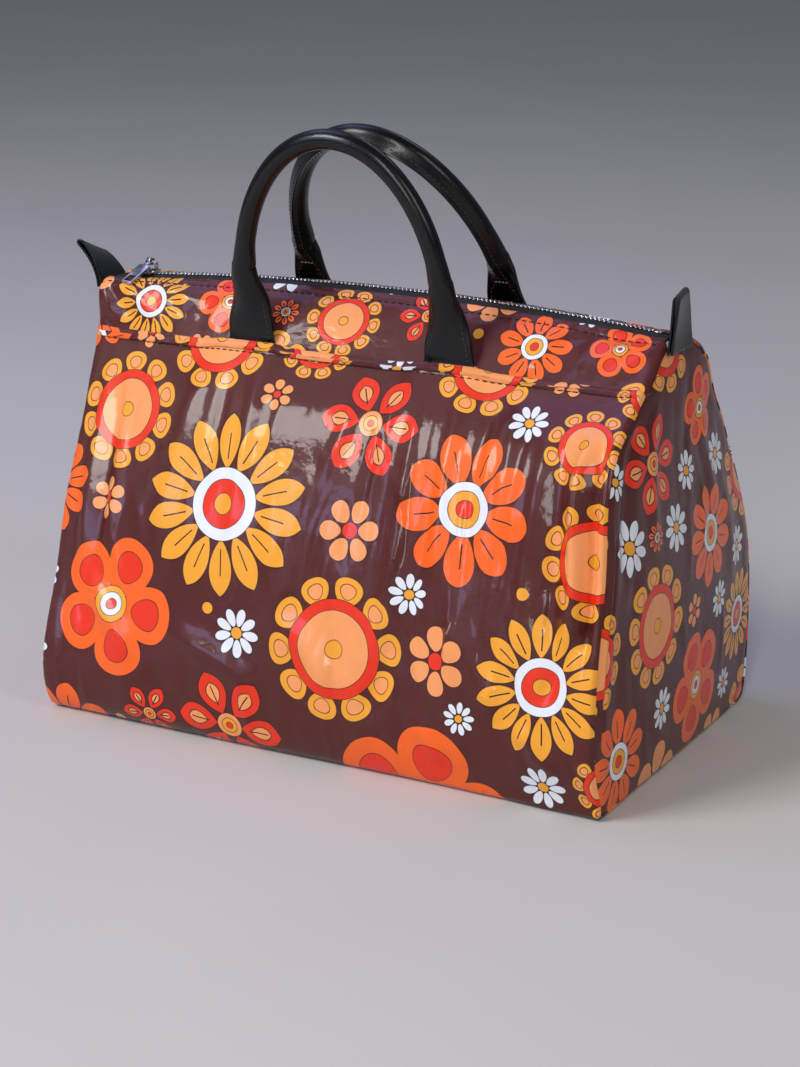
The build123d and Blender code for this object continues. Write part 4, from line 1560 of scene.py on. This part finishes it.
# %% End tabs: the pieces
def tab_piece(end):
    place, rise = tab_centre_line(end), TAB_RISE
    half_gap = (TAB_GAP + TAB_LAYER) / 2
    across_steps = np.linspace(-1, 1, 15)
    stations = [(far, 1.0) for far in np.linspace(0, rise, 20)]
    stations += [(rise, math.cos(angle)) for angle in np.linspace(0, math.pi, 9)[1:-1]]
    stations += [(far, -1.0) for far in np.linspace(rise, 0, 20)]
    grid = np.empty((len(stations), len(across_steps), 3))
    for i, (far, side_share) in enumerate(stations):
        for j, across in enumerate(across_steps):
            middle, facing = place(far, across)
            ahead, _ = place(far - 1 * MM, across)
            along = (middle - ahead) / np.linalg.norm(middle - ahead)
            open_up = 1 + 0.5 * smoothstep(far, 8 * MM, rise)
            extra = half_gap * math.sqrt(max(1 - side_share**2, 0)) * open_up
            grid[i, j] = middle + facing * side_share * half_gap * open_up + along * extra
    piece = wrapped("zip_tab_%s_leather" % end, grid)
    thickened(piece, TAB_LAYER, 0.0)
    bevelled(piece, 0.25 * MM, 50)
    piece.data.materials.clear()
    piece.data.materials.append(leather_finish)
    smooth(piece, 40)
    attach(piece, "bag")
    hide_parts("zip_tab_" + end)
    print(piece.name, len(piece.data.polygons), "faces")


for end in ("left", "right"):
    tab_piece(end)

# %% [markdown]
# The metal parts keep their construction shapes, because those are what slides and swings. Real die-cast
# parts have no sharp corners, so each gets a copy of its mesh with merged points and a small bevel.

# %% Zip parts
def rounded_copy(node, body, bevel, material):
    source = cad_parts[node]
    mesh = source.data.copy()
    piece = bpy.data.objects.new(node + "_finished", mesh)
    bpy.context.scene.collection.objects.link(piece)
    edited(piece, (bpy.ops.mesh.remove_doubles, {"threshold": 0.002 * MM}),
           (bpy.ops.mesh.dissolve_limited, {"angle_limit": math.radians(2)}))
    bevelled(piece, bevel, 35)
    mesh.materials.clear()
    mesh.materials.append(material)
    smooth(piece, 35)
    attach(piece, body)
    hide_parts(node)
    print(piece.name, len(mesh.polygons), "faces")


for node, body, bevel in (
    ("zip_teeth_front", "bag", 0.28 * MM), ("zip_teeth_back", "bag", 0.28 * MM),
    ("zip_bottom_stop", "bag", 0.25 * MM), ("zip_top_stops", "bag", 0.25 * MM),
    ("zip_slider", "slider", 0.22 * MM), ("zip_pull", "pull", 0.3 * MM),
):
    rounded_copy(node, body, bevel, metal_finish)
for node, material in (
    ("zip_tape_front", tape_finish), ("zip_tape_back", tape_finish), ("base_board", board_finish),
):
    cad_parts[node].data.materials.clear()
    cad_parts[node].data.materials.append(material)

# %% [markdown]
# The stage is a plain pale floor with soft studio light. A broad lamp above and to the left makes the
# long highlights on the coated cloth, and a tall one on the right draws the crinkles. Two blue lamps
# stand in for open sky, which glossy cloth mirrors outdoors.

# %% Stage and light
bpy.ops.object.select_all(action="DESELECT")
bpy.ops.mesh.primitive_plane_add(size=14, location=(0, 0, 0))
floor = bpy.context.object
floor.name = "floor"
floor_material, floor_tree, floor_shader = new_material("pale floor")
floor_patches = noise(floor_tree, object_place(floor_tree), 3.0)
floor_colour = blend(floor_tree, floor_patches, colour(196, 192, 187), colour(204, 200, 195))
finish(floor_tree, floor_shader, base_color=floor_colour, roughness=0.85)
floor.data.materials.append(floor_material)


# %% [markdown]
# Each lamp is a soft rectangle that faces a place on the bag. Its size sets how broad its reflection is,
# and its tint is warm for the sun's side and blue for the sky's.

# %% Lamps
def soft_lamp(name, place, target, size, power, tint):
    bpy.ops.object.light_add(type="AREA", location=place)
    lamp = bpy.context.object
    lamp.name = name
    lamp.rotation_euler = (Vector(target) - Vector(place)).to_track_quat("-Z", "Y").to_euler()
    lamp.data.shape = "RECTANGLE"
    lamp.data.size, lamp.data.size_y = size
    lamp.data.energy = power
    lamp.data.color = tint


soft_lamp("key lamp", (-1.3, -1.9, 2.0), (0, 0, 0.12), (1.2, 0.9), 55, (1.0, 0.98, 0.95))
soft_lamp("streak lamp", (0.9, -2.3, 1.3), (0, 0, 0.15), (0.3, 1.6), 20, (1.0, 1.0, 1.0))
soft_lamp("side lamp", (2.2, -0.8, 1.4), (0, 0, 0.15), (0.5, 1.2), 11, (1.0, 0.97, 0.94))
soft_lamp("back lamp", (0.2, 1.6, 2.0), (0, 0, 0.25), (1.2, 0.5), 3, (0.95, 0.97, 1.0))
soft_lamp("sky lamp", (-1.35, -2.35, 1.05), (-0.05, 0, 0.15), (1.4, 0.6), 13, (0.42, 0.46, 1.0))
soft_lamp("high sky lamp", (-1.0, 0.3, 2.1), (0, 0, 0.25), (1.3, 1.3), 10, (0.46, 0.44, 1.0))

world = bpy.data.worlds.new("studio")
bpy.context.scene.world = world
world.use_nodes = True
world.node_tree.nodes["Background"].inputs[0].default_value = (0.72, 0.80, 1.0, 1.0)
world.node_tree.nodes["Background"].inputs[1].default_value = 0.20
bpy.context.scene.view_settings.view_transform = "Standard"
